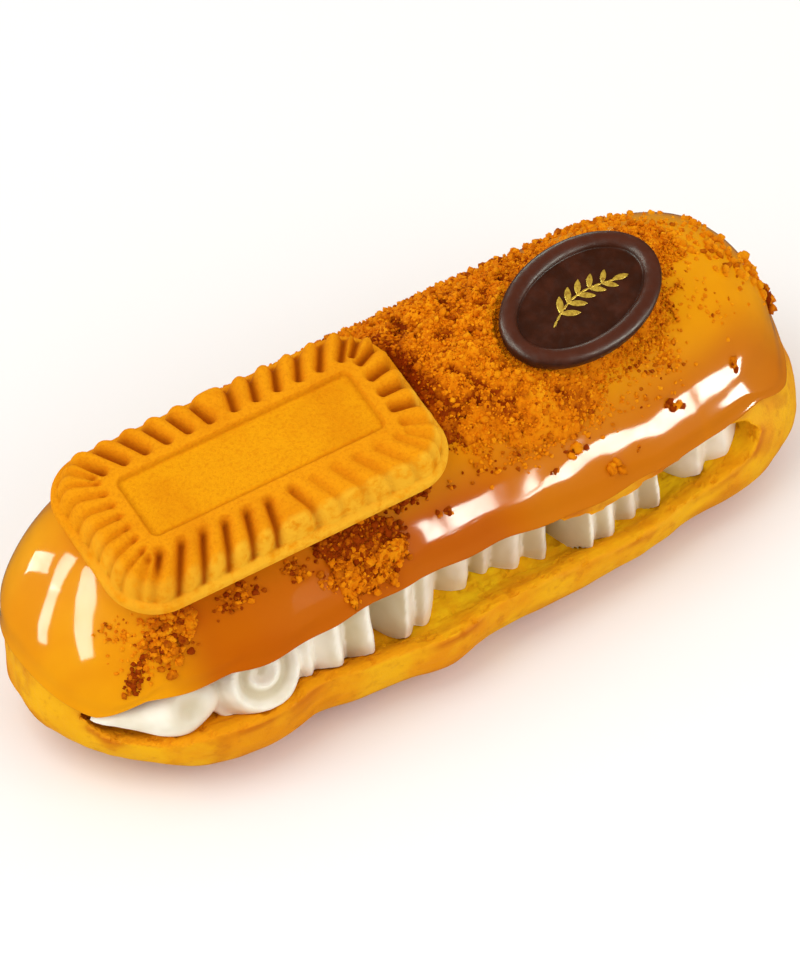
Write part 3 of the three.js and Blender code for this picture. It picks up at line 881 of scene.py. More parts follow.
@dataclass
class Icing:
    """The glossy skin over the bun's top, one closed ball pressed flat round the bun."""

    around: int = 384
    rows: int = 124
    outer: float = 0.82
    bead_to: float = 0.9
    bead: float = 0.2
    bead_wide: float = 1.6
    swell: float = 0.22
    swell_size: float = 13.0
    fine_swell: float = 0.015
    fine_size: float = 4.5
    swell_from: float = 4.0
    ripple: float = 0.35
    ripple_long: tuple = (2.9, 7.1)
    film_gaps: tuple = ((6.2, 2.6), (44.6, 0.8))
    gap_slant: float = 0.3
    gap_shift: float = 6.0
    gap_front: float = -8.0
    gap_dull: float = 0.9
    dull_front: tuple = (4.0, 10.0)
    dull_left: tuple = (-52.0, -46.0)
    dull_right: tuple = (-16.0, -11.0)
    dullest: float = 0.98
    # Where shade is painted: below a wavy height on both sides, none at the left end and less to the right.
    side_shade_low: float = 32.0
    side_shade_high: float = 39.0
    side_shade_wave: float = 1.5
    side_shade_wave_long: float = 9.0
    side_shade_out: tuple = (7.0, 15.0)
    side_shade_left: tuple = (48.0, 58.0)
    side_shade_right: tuple = (0.0, 15.0)
    thin: float = 0.8
    thin_wide: float = 5.0
    inner: float = 0.12

    def _on_bun(self, heading: Array, reach: Array, skin: Array) -> Array:
        """Points at a heading and reach from the bun's top middle, wrapped round the bun."""
        share = np.sin(reach * np.cos(heading))
        return BUN.skin(np.clip(share, -1.0, 1.0), math.pi / 2 - reach * np.sin(heading), skin)

    def _edge(self, heading: Array) -> Array:
        """Reach at which the icing ends, for each heading."""
        low = np.zeros_like(heading)
        high = 0.499 * math.pi / np.maximum(np.abs(np.cos(heading)), np.abs(np.sin(heading)))
        for _ in range(30):
            middle = (low + high) / 2
            point = self._on_bun(heading, middle, BUN.icing_thick)
            x, y, z = point.T
            ripple = self.ripple * np.sin(x / self.ripple_long[0]) * np.sin(x / self.ripple_long[1] + 1.0)
            inside = z > BUN.icing_edge(x, y) + ripple
            low, high = np.where(inside, middle, low), np.where(inside, high, middle)
        return low

    def build(self) -> Object:
        """Wrap the ball: its upper half is the icing's face, its lower half the inner side."""
        heading = np.linspace(-math.pi, math.pi, 1441)
        reach = self._edge(heading)
        line = self._on_bun(heading, reach, BUN.icing_thick)
        steps = np.linalg.norm(np.diff(line, axis=0), axis=1)
        along = np.concatenate([[0.0], np.cumsum(steps)]) / steps.sum()
        pace = np.linalg.norm(self._on_bun(heading, reach - 0.01, BUN.icing_thick) - line, axis=1) / 0.01
        bm = ball(self.around, self.rows)
        down, round_axis = ball_shares(points_of(bm))
        turn = np.interp(round_axis + 0.5, along, heading)
        limit, speed = np.interp(turn, heading, reach), np.interp(turn, heading, pace)
        inner_share = np.clip((1.0 - down) / (1.0 - self.bead_to), 0.0, 1.0)
        share = np.where(down < self.outer, down / self.outer, inner_share)
        to_edge = limit * (1.0 - share) * speed
        rough = self._on_bun(turn, limit * share, np.full(len(turn), BUN.icing_thick))
        broad, fine = lumps(rough, self.swell_size, 2, 3.0), lumps(rough, self.fine_size, 2, 6.0)
        swell = (self.swell * broad + self.fine_swell * fine) * smoothstep(to_edge, 0.0, self.swell_from)
        thick = self.thin + (BUN.icing_thick - self.thin) * smoothstep(to_edge, 0.0, self.thin_wide)
        face = thick + swell + self.bead * hump(to_edge, self.bead_wide)
        fold = np.clip((down - self.outer) / (self.bead_to - self.outer), 0.0, 1.0) * math.pi
        half = (self.thin + self.bead - self.inner) / 2
        skin = np.where(down < self.outer, face, self.inner + half * (1.0 + np.cos(fold)))
        reached = limit * share + np.where(fold < math.pi, half * np.sin(fold) / speed, 0.0)
        mould(bm, self._on_bun(turn, reached, skin))
        bmesh.ops.recalc_face_normals(bm, faces=bm.faces)
        obj = make_object(bm, "icing_skin")
        self._values(obj)
        return obj

    def _values(self, obj: Object) -> None:
        """Store where shade is painted low on the icing's sides and where its film is dull or gone."""
        x, y, z = source_points(obj).T
        # Painted shade below a wavy height on both sides, clear of the left end.
        high = self.side_shade_high + self.side_shade_wave * np.sin(x / self.side_shade_wave_long)
        front = 1.0 - smoothstep(z, self.side_shade_low, high)
        ends = (1.0 - smoothstep(-x, *self.side_shade_left)) * (1.0 - 0.3 * smoothstep(x, *self.side_shade_right))
        add_values(obj, "side_shade", front * smoothstep(np.abs(y), *self.side_shade_out) * ends)
        dull = smoothstep(-y, *self.dull_front) * smoothstep(x, *self.dull_left)
        dull = dull * (1.0 - smoothstep(x, *self.dull_right))
        for gap_x, gap_wide in self.film_gaps:
            across = x + self.gap_slant * y + self.gap_shift - gap_x
            gap = hump(across, gap_wide, 4) * (y < self.gap_front)
            dull = np.maximum(dull, self.gap_dull * gap)
        add_values(obj, "film", 1.0 - self.dullest * dull)

    def dress(self) -> Object:
        """Build the icing and finish it."""
        return hand_over(self.build(), IcingFinish().make(), Slot.ICING, "icing")


@dataclass(frozen=True)
class Fold:
    """One upright fold of piped cream: where its crest stands, and how fast it falls back on either side."""

    x: float
    y: float
    left: float
    right: float
    lean: float = 0.0


@dataclass
class Cream:
    """The piped filling: a drop, a scroll, a row of folds and a core behind them."""

    voxel: float = 0.36
    smoothing: int = 2
    tip: float = 3.0
    core_cuts: int = 31
    core_inset: float = 13.0
    recede: float = 2.4
    curl: float = 0.4
    fall_back: float = 2.2
    crest: float = 1.5
    ruffle_ends: tuple = (-35.0, 55.0)
    ruffle_back: float = -12.0
    ruffle_grid: tuple = (360, 36)
    scroll_at: tuple = (-40.8, -17.8, 16.2)
    scroll_axis: tuple = (-0.1, -0.8, 0.6)
    scroll_radius: float = 8.7
    scroll_deep: float = 6.0
    scroll_pitch: float = 4.4
    scroll_ridge: float = 1.3
    scroll_pit: float = 1.5
    tail: tuple = (-67.0, -12.9, 15.9)
    head: tuple = (-46.4, -18.9, 15.8)
    drop_radius: float = 4.9
    drop_bow: float = 2.0
    drop_side: tuple = (0.38, 0.92, 0.0)
    hollow: tuple = (-53.6, -21.3, 17.6)
    hollow_axis: tuple = (-0.3, -0.6, 0.74)
    hollow_deep: float = 2.4
    hollow_wide: float = 2.2
    # Where shade is painted: deep in the slit, on faces turned to the left, in the scroll's furrows and in
    # the drop's hollow.
    shade_depth: tuple = (9.0, 14.0)
    shade_turned: tuple = (0.2, 0.8)
    shade_turned_left: tuple = (-31.0, -27.0)
    shade_turned_right: tuple = (38.0, 42.0)
    furrow: tuple = (-0.2, 0.9)
    furrow_out: tuple = (6.0, 8.0)
    furrow_up: tuple = (2.0, 4.0)
    pit_up: tuple = (13.0, 15.0)

    def _folds(self) -> list[Fold]:
        """The folds from left to right."""
        return [
            Fold(-32.2, -23.4, 1.6, 1.8),
            Fold(-27.6, -24.6, 2.8, 1.8, 0.4),
            Fold(-21.8, -24.6, 2.8, 1.5, 0.6),
            Fold(-13.6, -23.9, 1.6, 2.4, -0.8),
            Fold(-8.6, -22.4, 2.4, 2.6, -1.4),
            Fold(0.8, -19.2, 3.8, 1.8, -1.2),
            Fold(5.2, -18.2, 2.0, 2.2, -1.0),
            Fold(10.4, -19.9, 3.0, 2.0, -1.2),
            Fold(15.0, -20.6, 2.4, 1.5, -0.8),
            Fold(21.6, -24.2, 1.3, 1.8, -0.6),
            Fold(26.0, -23.2, 2.2, 2.0, -0.4),
            Fold(31.6, -20.8, 2.6, 2.0),
            Fold(36.0, -21.8, 1.6, 1.2),
            Fold(45.0, -20.2, 1.8, 2.6),
            Fold(50.6, -19.8, 2.8, 3.2),
        ]

    def _ruffle(self) -> BMesh:
        """The row of folds as one pleated wall from the slit's floor to its roof."""
        bm = bmesh.new()
        columns, rows = self.ruffle_grid
        bmesh.ops.create_grid(bm, x_segments=columns, y_segments=rows, size=1.0)
        share = (points_of(bm) + 1.0) / 2
        start, end = self.ruffle_ends
        x, up = start + (end - start) * share[:, 0], share[:, 1]
        y = np.full(len(x), self.ruffle_back)
        for fold in self._folds():
            away = x - fold.x - fold.lean * (1.0 - up)
            off = np.abs(away) / np.where(away < 0.0, fold.left, fold.right)
            y = np.minimum(y, fold.y + self.fall_back * off ** self.crest)
        floor, roof = BUN.slit_floor(x, y) - 0.6, BUN.lips(x)[1] + 1.0
        y = y + self.curl * (1.0 - smoothstep(up, 0.0, 0.2)) + self.recede * up
        mould(bm, as_rows(x, y, floor + (roof - floor) * up))
        made = bmesh.ops.extrude_face_region(bm, geom=bm.faces[:], use_keep_orig=True)
        for item in made["geom"]:
            if isinstance(item, BMVert):
                item.co.y = self.ruffle_back + 2.0
        bmesh.ops.recalc_face_normals(bm, faces=bm.faces)
        return bm

    def _scroll_turn(self) -> Array:
        """The turn from the scroll's own frame, which it faces along Z."""
        return np.array(Vector(self.scroll_axis).normalized().to_track_quat("Z", "Y").to_matrix())

    def _scroll_wave(self, local: Array) -> Array:
        """Ridges and furrows of the scroll, 1 on a ridge and -1 in a furrow."""
        out, turn = np.hypot(local[:, 0], local[:, 1]), np.arctan2(local[:, 1], local[:, 0])
        return np.cos(2 * math.pi * (out / self.scroll_pitch - 0.5 - (turn + 0.6) / (2 * math.pi)))

    def _scroll(self) -> BMesh:
        """A rosette seen from the front, with turns round a pit."""
        bm = ball(128, 110)
        points = points_of(bm)
        local = points * np.array([self.scroll_radius, self.scroll_radius, self.scroll_deep])
        out = np.hypot(local[:, 0], local[:, 1])
        facing = smoothstep(points[:, 2], 0.0, 0.4)
        ridges = self.scroll_ridge * self._scroll_wave(local) * smoothstep(out, 0.6, 2.4)
        local[:, 2] += (ridges - self.scroll_pit * hump(out, self.scroll_pit)) * facing
        mould(bm, local @ self._scroll_turn().T + np.array(self.scroll_at))
        return bm

    def _from_hollow(self, points: Array) -> Array:
        """Distance from the axis of the hollow in the drop's head."""
        return np.linalg.norm(np.cross(points - np.array(self.hollow), np.array(self.hollow_axis)), axis=1)

    def _drop(self) -> BMesh:
        """A drop with a tail to the left and a hollow in its round head."""
        bm = ball(72, 72, "X")
        points = points_of(bm)
        along = (points[:, 0] + 1.0) / 2
        grow = 0.38 + 0.62 * smoothstep(along, 0.1, 0.75)
        tail, head = np.array(self.tail), np.array(self.head)
        middle = tail + (head - tail) * along[:, None]
        middle[:, 1] -= self.drop_bow * np.sin(math.pi * along)
        radius = self.drop_radius * grow
        body = middle + np.array(self.drop_side) * (points[:, 1] * radius)[:, None]
        body[:, 2] += points[:, 2] * radius
        look = np.array(self.hollow_axis)
        facing = smoothstep((body - middle) @ look, 0.5, 3.0)
        sunk = self.hollow_deep * hump(self._from_hollow(body), self.hollow_wide) * facing
        mould(bm, body - look * sunk[:, None])
        return bm

    def _core(self) -> BMesh:
        """The plain filling behind the folds, to the slit's back."""
        bm, share = block(self.core_cuts)
        left, right = BUN.slit_left + self.tip, BUN.slit_right - self.tip
        x = left + (right - left) * share[:, 0]
        back = BUN.slit_back - GAP - BUN.slit_tip_back * (1.0 - BUN.slit_fullness(x))
        front = np.minimum(BUN.front_line(x) + BUN.wobble(x) + self.core_inset, back - 0.5)
        y = front + (back - front) * share[:, 1]
        floor, roof = BUN.slit_floor(x, y) + GAP, BUN.lips(x)[1] - GAP
        mould(bm, as_rows(x, y, floor + np.maximum(roof - floor, GAP) * share[:, 2]))
        return bm

    def build(self) -> Object:
        """Pipe the parts, fuse them and keep them inside the slit."""
        forms = [self._core(), self._drop(), self._scroll(), self._ruffle()]
        obj = make_object(gather(forms), "cream_piping")
        fuse(obj, self.voxel, self.smoothing)
        points = source_points(obj)
        x, y, z = points.T
        floor, roof = BUN.slit_floor(x, y) + 0.1, BUN.lips(x)[1] - 0.1
        kept = as_rows(x, y, np.clip(z, floor, np.maximum(roof, floor)))
        place_points(obj, kept + mesh_points(obj, "normal") * (0.12 * lumps(points, 3.5, 2, 8.0))[:, None])
        # Painted shade, stored as the fold value.
        add_values(obj, "fold", self._painted_shade_values(points, mesh_points(obj, "normal")))
        return obj

    def _painted_shade_values(self, points: Array, normals: Array) -> Array:
        """How much shade is painted at each place: deep in the slit, on faces turned to the left, in the
        scroll's furrows and in the drop's hollow.
        """
        x, y, z = points.T
        depth = smoothstep(y - BUN.front_line(x) - BUN.wobble(x), *self.shade_depth)
        away = smoothstep(-normals[:, 0], *self.shade_turned) * smoothstep(x, *self.shade_turned_left)
        away = away * (1.0 - smoothstep(x, *self.shade_turned_right))
        local = (points - np.array(self.scroll_at)) @ self._scroll_turn()
        out = np.hypot(local[:, 0], local[:, 1])
        furrow = smoothstep(-self._scroll_wave(local), *self.furrow)
        furrow = furrow * (1.0 - smoothstep(out, *self.furrow_out))
        pit = hump(self._from_hollow(points), self.hollow_deep) * smoothstep(z, *self.pit_up)
        raised = smoothstep(local[:, 2], *self.furrow_up)
        fold = 0.8 * depth + 0.7 * away + 0.55 * furrow * raised + 0.5 * pit
        return np.clip(fold, 0.0, 1.0)

    def dress(self) -> Object:
        """Build the cream and finish it."""
        return hand_over(self.build(), CreamFinish().make(), Slot.CREAM, "cream")


@dataclass
class Biscuit:
    """The oblong biscuit, with a sunk panel in a fan of flutes."""

    half_length: float = 30.5
    half_width: float = 16.0
    corner: float = 8.5
    thick: float = 6.4
    panel_length: float = 21.4
    panel_width: float = 6.3
    panel_depth: float = 0.55
    border: float = 1.5
    per_side: int = 12
    per_right: int = 5
    per_left: int = 7
    fan_inner: float = 0.22
    fan_outer: float = 0.7
    fan_end: float = 0.52
    flute_deep: float = 1.5
    flute_half: float = 0.7
    thin_half: float = 0.4
    flute_start: tuple = (-0.2, 1.2)
    flute_end: tuple = (-11.0, -10.0)
    flute_rim: tuple = (0.7, 1.4)
    rubbed: float = 0.62
    rubbed_right: tuple = (-1.0, 7.0)
    rubbed_front: tuple = (4.0, 8.0)
    worn: float = 0.55
    worn_left: tuple = (22.0, 25.0)
    ridge_round: float = 0.75
    ridge_wide: float = 1.8
    shoulder: float = 2.2
    notch: float = 0.8
    skirt: float = 1.7
    skirt_wide: float = 1.0
    edge: float = 0.9
    panel_corner: float = 1.6
    line_inset: float = 0.5
    line_wide: float = 0.3
    line_deep: float = 0.22
    rim_to: float = 0.9
    grain: float = 0.06
    uneven: float = 0.1
    crumbly: float = 0.2
    around: int = 480
    rows: int = 150

    def _outline(self, turn: Array, half_x: float, half_y: float, radius: float) -> Array:
        """A rounded rectangle; turn runs from 0 to 1 with the same share for each side and corner."""
        shares = np.cumsum([0.0, 0.045, 0.06, 0.29, 0.06, 0.09, 0.06, 0.29, 0.06, 0.045])
        flat_x, flat_y = half_x - radius, half_y - radius
        arc = np.linspace(0.0, math.pi / 2, 13)
        corners = [(1, 1, 0.0), (-1, 1, 0.5), (-1, -1, 1.0), (1, -1, 1.5)]
        places, xs, ys = [0.0], [half_x], [0.0]
        for number, (sx, sy, start) in enumerate(corners):
            places.extend(np.linspace(shares[2 * number + 1], shares[2 * number + 2], len(arc)))
            xs.extend(sx * flat_x + radius * np.cos(arc + start * math.pi))
            ys.extend(sy * flat_y + radius * np.sin(arc + start * math.pi))
        places.append(1.0)
        xs.append(half_x)
        ys.append(0.0)
        return as_rows(np.interp(turn, places, xs), np.interp(turn, places, ys))

    def inset(self, x: Array, y: Array) -> Array:
        """Distance inwards from the biscuit's outline, negative outside it."""
        return inset_in(x, y, self.half_length, self.half_width, self.corner)

    @staticmethod
    def _places(count: int) -> list[float]:
        """Even places between -1 and 1, half a step in from both ends."""
        return [(2 * number + 1) / count - 1 for number in range(count)]

    def _flutes(self) -> list[tuple[float, float, float, float]]:
        """Start, heading and half-width of every flute."""
        x, y = self.panel_length + self.border, self.panel_width + self.border
        half = self.flute_half
        found = []
        for place in self._places(self.per_side):
            lean = math.copysign(self.fan_inner + (self.fan_outer - self.fan_inner) * abs(place), place)
            found += [(place * x, y, math.pi / 2 - lean, half), (place * x, -y, lean - math.pi / 2, half)]
        for place in self._places(self.per_right):
            found.append((x, place * y, place * self.fan_end, half))
        for place in self._places(self.per_left):
            found.append((-x, place * y, math.pi - place * self.fan_end, self.thin_half))
        for quarter in range(4):
            heading = math.pi / 4 + quarter * math.pi / 2
            corner_x, corner_y = math.copysign(x, math.cos(heading)), math.copysign(y, math.sin(heading))
            found.append((corner_x, corner_y, heading, half))
        return found

    def _grooves(self, x: Array, y: Array) -> tuple[Array, Array]:
        """How far each place lies in a flute, and how far down a ridge's round side."""
        deepest, side = np.zeros_like(x), np.zeros_like(x)
        for start_x, start_y, heading, half in self._flutes():
            dx, dy = x - start_x, y - start_y
            along = dx * math.cos(heading) + dy * math.sin(heading)
            across = -dx * math.sin(heading) + dy * math.cos(heading)
            begun = smoothstep(along, *self.flute_start) * smoothstep(-along, *self.flute_end)
            deepest = np.maximum(deepest, hump(across, half) * begun)
            side = np.maximum(side, hump(across, self.ridge_wide * half) * begun)
        ended = smoothstep(self.inset(x, y), *self.flute_rim)
        rubbed = smoothstep(x, *self.rubbed_right) * smoothstep(-y, *self.rubbed_front)
        worn = 1.0 - self.rubbed * rubbed - self.worn * smoothstep(-x, *self.worn_left)
        return deepest * ended * worn, side * ended * worn

    def _height(self, x: Array, y: Array) -> tuple[Array, Array, Array]:
        """Height of the top, how much each place is flute, with painted shade on the panel's line, and how
        much each place is panel.
        """
        inset = self.inset(x, y)
        shaded_groove, side = self._grooves(x, y)
        wall = inset - self.skirt_wide - self.notch * side
        drop = np.clip((self.shoulder - wall) / self.shoulder, 0.0, 1.0)
        fingers = self.skirt + (self.thick - self.skirt) * np.sqrt(1.0 - drop ** 2.2 * 0.999)
        into = inset_in(x, y, self.panel_length, self.panel_width, self.panel_corner)
        panel = smoothstep(into, -0.2, 0.5)
        line = hump(into - self.line_inset, self.line_wide)
        fingers = fingers - self.panel_depth * panel - self.line_deep * line
        fingers = fingers - self.flute_deep * shaded_groove - self.ridge_round * side
        skirt = self.edge + (self.skirt - self.edge) * np.sqrt(np.clip(inset / self.skirt_wide, 0.0, 1.0))
        # The flute value also holds painted shade on the panel's line.
        return np.maximum(np.where(wall > 0.0, fingers, 0.0), skirt), np.maximum(shaded_groove, 0.5 * line), panel

    def build(self) -> Object:
        """Press a ball into the biscuit: upper half the top face, lower half the underside."""
        bm = ball(self.around, self.rows)
        down, round_axis = ball_shares(points_of(bm))
        turn = round_axis % 1.0
        field_x, field_y = self.panel_length + self.border, self.panel_width + self.border
        rings = [
            (0.0, 0.0, 0.0, 0.0),
            (0.18, self.panel_length - 0.5, self.panel_width - 0.5, 0.9),
            (0.25, self.panel_length + 0.3, self.panel_width + 0.3, 1.5),
            (0.34, field_x, field_y, 2.6),
            (0.72, self.half_length - 2.6, self.half_width - 2.6, self.corner - 2.0),
            (0.86, self.half_length, self.half_width, self.corner),
        ]
        flat = np.zeros((len(down), 2))
        for (start, *inner), (end, *outer) in zip(rings, rings[1:]):
            share = ((down - start) / (end - start))[:, None]
            ring = (share[:, 0] >= 0.0) & (share[:, 0] <= 1.0)
            blend = self._outline(turn, *inner) * (1 - share) + self._outline(turn, *outer) * share
            flat[ring] = blend[ring]
        under = down > rings[-1][0]
        fold = np.clip((down - rings[-1][0]) / (self.rim_to - rings[-1][0]), 0.0, 1.0)
        shrink = np.clip((1.0 - down) / (1.0 - self.rim_to), 0.0, 1.0)
        outline = self._outline(turn, self.half_length, self.half_width, self.corner)
        flat[under] = (outline * shrink[:, None])[under]
        x, y = flat.T
        top, shaded_groove, panel = self._height(x, y)
        z = np.where(under, self.edge * (1.0 - fold), top)
        local = as_rows(x, y, z)
        # Pale near the outline on the front half: partly a crumbly edge, partly painted light.
        side = smoothstep(-self.inset(x, y), -3.2, -1.6) * smoothstep(-y, -6.0, 6.0)
        grain = self.grain * lumps(local, 0.9, 2, 2.0) + self.uneven * lumps(local, 5.0, 2, 5.0)
        crumbly = side * smoothstep(x, -24.0, -8.0)
        grain = grain + self.crumbly * crumbly * lumps(local, 1.7, 3, 7.0)
        local[:, 2] = np.maximum(local[:, 2] + grain * ~under, 0.0)
        mould(bm, BISCUIT_AT.put(local))
        bmesh.ops.recalc_face_normals(bm, faces=bm.faces)
        obj = make_object(bm, "biscuit_fluted")
        # Painted shade in the flutes and on the panel's line.
        add_values(obj, "shaded_groove", np.where(under, 0.0, np.clip(shaded_groove ** 1.5, 0.0, 1.0)))
        add_values(obj, "panel", np.where(under, 0.0, panel))
        add_values(obj, "side", np.clip(side * 0.6 + crumbly, 0.0, 1.0))
        return obj

    def dress(self) -> Object:
        """Build the biscuit and finish it."""
        return hand_over(self.build(), BiscuitFinish().make(), Slot.BISCUIT, "biscuit")


@dataclass
class Plaque:
    """The oval chocolate plaque with a raised round rim and a gold sprig."""

    half_length: float = 15.6
    half_width: float = 10.4
    thick: float = 3.4
    rim: float = 3.1
    sink: float = 1.3
    steps: int = 128
    leaves: int = 5
    stem: float = 14.0
    stem_start: float = -7.4
    stem_bow: float = 1.9
    stem_low: float = -1.1
    stem_parts: int = 12
    leaf_half_thick: float = 0.16

    def _profile(self) -> list[tuple[float, float]]:
        """Section from the bottom's middle round the rim to the field's middle."""
        out, inner, field = self.half_length, self.half_length - self.rim, self.thick - self.sink
        section = [(0.0, 0.0), (out * 0.5, 0.0), (out - 1.4, 0.0)]
        for step in range(9):
            turn = math.pi / 2 * (step / 8 - 1)
            section.append((out - 1.0 + math.cos(turn), field + field * math.sin(turn)))
        for step in range(1, 17):
            turn = math.pi * step / 16
            section.append((out - self.rim / 2 * (1.0 - math.cos(turn)), field + self.sink * math.sin(turn)))
        for share in (0.97, 0.9, 0.75, 0.5, 0.25):
            section.append((inner * share, field))
        return section + [(0.0, field)]

    def _oval(self, points: Array) -> Array:
        """Press a round form into the oval and keep the rim's width."""
        radius = np.hypot(points[:, 0], points[:, 1])
        inset = self.half_length - radius
        field = (self.half_width - self.rim) * radius / (self.half_length - self.rim)
        short = np.where(inset < self.rim, self.half_width - inset, field)
        moved = points.copy()
        moved[:, 1] *= np.where(radius > 0, short / np.maximum(radius, 1e-9), 0.0)
        return moved

    def build(self) -> Object:
        """Spin the section and press it oval."""
        bm = bmesh.new()
        verts = [bm.verts.new((x, 0.0, z)) for x, z in self._profile()]
        edges = [bm.edges.new(pair) for pair in zip(verts, verts[1:])]
        bmesh.ops.spin(bm, geom=verts + edges, cent=(0, 0, 0), axis=(0, 0, 1), angle=2 * math.pi,
                       steps=self.steps, use_merge=True)
        bmesh.ops.remove_doubles(bm, verts=bm.verts, dist=1e-4)
        bmesh.ops.recalc_face_normals(bm, faces=bm.faces)
        local = self._oval(points_of(bm))
        # Painted light: how high each place is on the rim, for the finish to lighten.
        rim = smoothstep(local[:, 2], self.thick - self.sink, self.thick)
        local[:, 2] += 0.05 * lumps(local, 2.4, 2, 3.0) * smoothstep(local[:, 2], 1.0, 2.0)
        mould(bm, PLAQUE_AT.put(local))
        obj = make_object(bm, "plaque_oval")
        add_values(obj, "rim", rim)
        return obj

    def _leaf(self, length: float, width: float, heading: float, x: float, y: float) -> BMesh:
        """One thin pointed leaf that lies on the field."""
        bm = ball(16, 12, "X")
        local = points_of(bm)
        along = local[:, 0]
        spread = np.abs(1.0 - along ** 2) ** 0.4
        across, up = local[:, 1] * width / 2 * spread, local[:, 2] * self.leaf_half_thick
        local = as_rows(along * length / 2, across, up)
        turn = np.array(Matrix.Rotation(heading, 3, "Z"))
        local = local @ turn.T + np.array([x, y, self.thick - self.sink + 0.08])
        mould(bm, PLAQUE_AT.put(local))
        return bm

    def _bow(self, share: float) -> tuple[float, float]:
        """A place along the sprig's stem, 0 at its foot and 1 at its tip."""
        return self.stem_start + self.stem * share, self.stem_bow * math.sin(math.pi * share) + self.stem_low

    def _sprig(self) -> Object:
        """A curved stem with pairs of leaves and one at its tip."""
        forms = []
        for number in range(self.stem_parts):
            x0, y0 = self._bow(number / self.stem_parts)
            x1, y1 = self._bow((number + 1.3) / self.stem_parts)
            heading = math.atan2(y1 - y0, x1 - x0)
            forms.append(self._leaf(1.7, 0.42, heading, (x0 + x1) / 2, (y0 + y1) / 2))
        for number in range(self.leaves):
            share = 0.2 + 0.66 * number / (self.leaves - 1)
            x, y = self._bow(share)
            for side in (-1, 1):
                heading = side * 0.75 + 0.35 * (0.5 - share)
                reach = 1.7 - 0.35 * share
                forms.append(self._leaf(3.6 - 1.0 * share, 1.25 - 0.3 * share, heading,
                                        x + reach * math.cos(heading), y + reach * math.sin(heading)))
        x, y = self._bow(1.0)
        forms.append(self._leaf(3.0, 1.1, -0.35, x + 1.2, y - 0.3))
        return make_object(gather(forms), "plaque_sprig")

    def dress(self) -> list[Object]:
        """Build the plaque and its sprig and finish them."""
        plaque = hand_over(self.build(), ChocolateFinish().make(), Slot.CHOCOLATE, "plaque")
        sprig = hand_over(self._sprig(), GoldFinish().make(), Slot.CHOCOLATE)
        return [plaque, sprig]


BISCUIT = Biscuit()
PLAQUE = Plaque()


def topping_inset(x: Array, y: Array) -> tuple[Array, Array, Array]:
    """How far places lie under a topping, seen from above.

    Args:
        x: places along the eclair.
        y: places across it.

    Returns:
        Distance inside the biscuit's outline, distance inside the plaque's, and the height of the
        toppings' underside there.
    """
    on_biscuit = BISCUIT_AT.own(as_rows(x, y, BISCUIT_AT.z))
    in_biscuit = BISCUIT.inset(on_biscuit[:, 0], on_biscuit[:, 1])
    on_plaque = PLAQUE_AT.own(as_rows(x, y, PLAQUE_AT.z))
    share = np.hypot(on_plaque[:, 0] / PLAQUE.half_length, on_plaque[:, 1] / PLAQUE.half_width)
    in_plaque = (1.0 - share) * PLAQUE.half_width
    under_biscuit = BISCUIT_AT.z - on_biscuit[:, 2]
    under_plaque = PLAQUE_AT.z - on_plaque[:, 2]
    return in_biscuit, in_plaque, np.where(in_biscuit > in_plaque, under_biscuit, under_plaque)


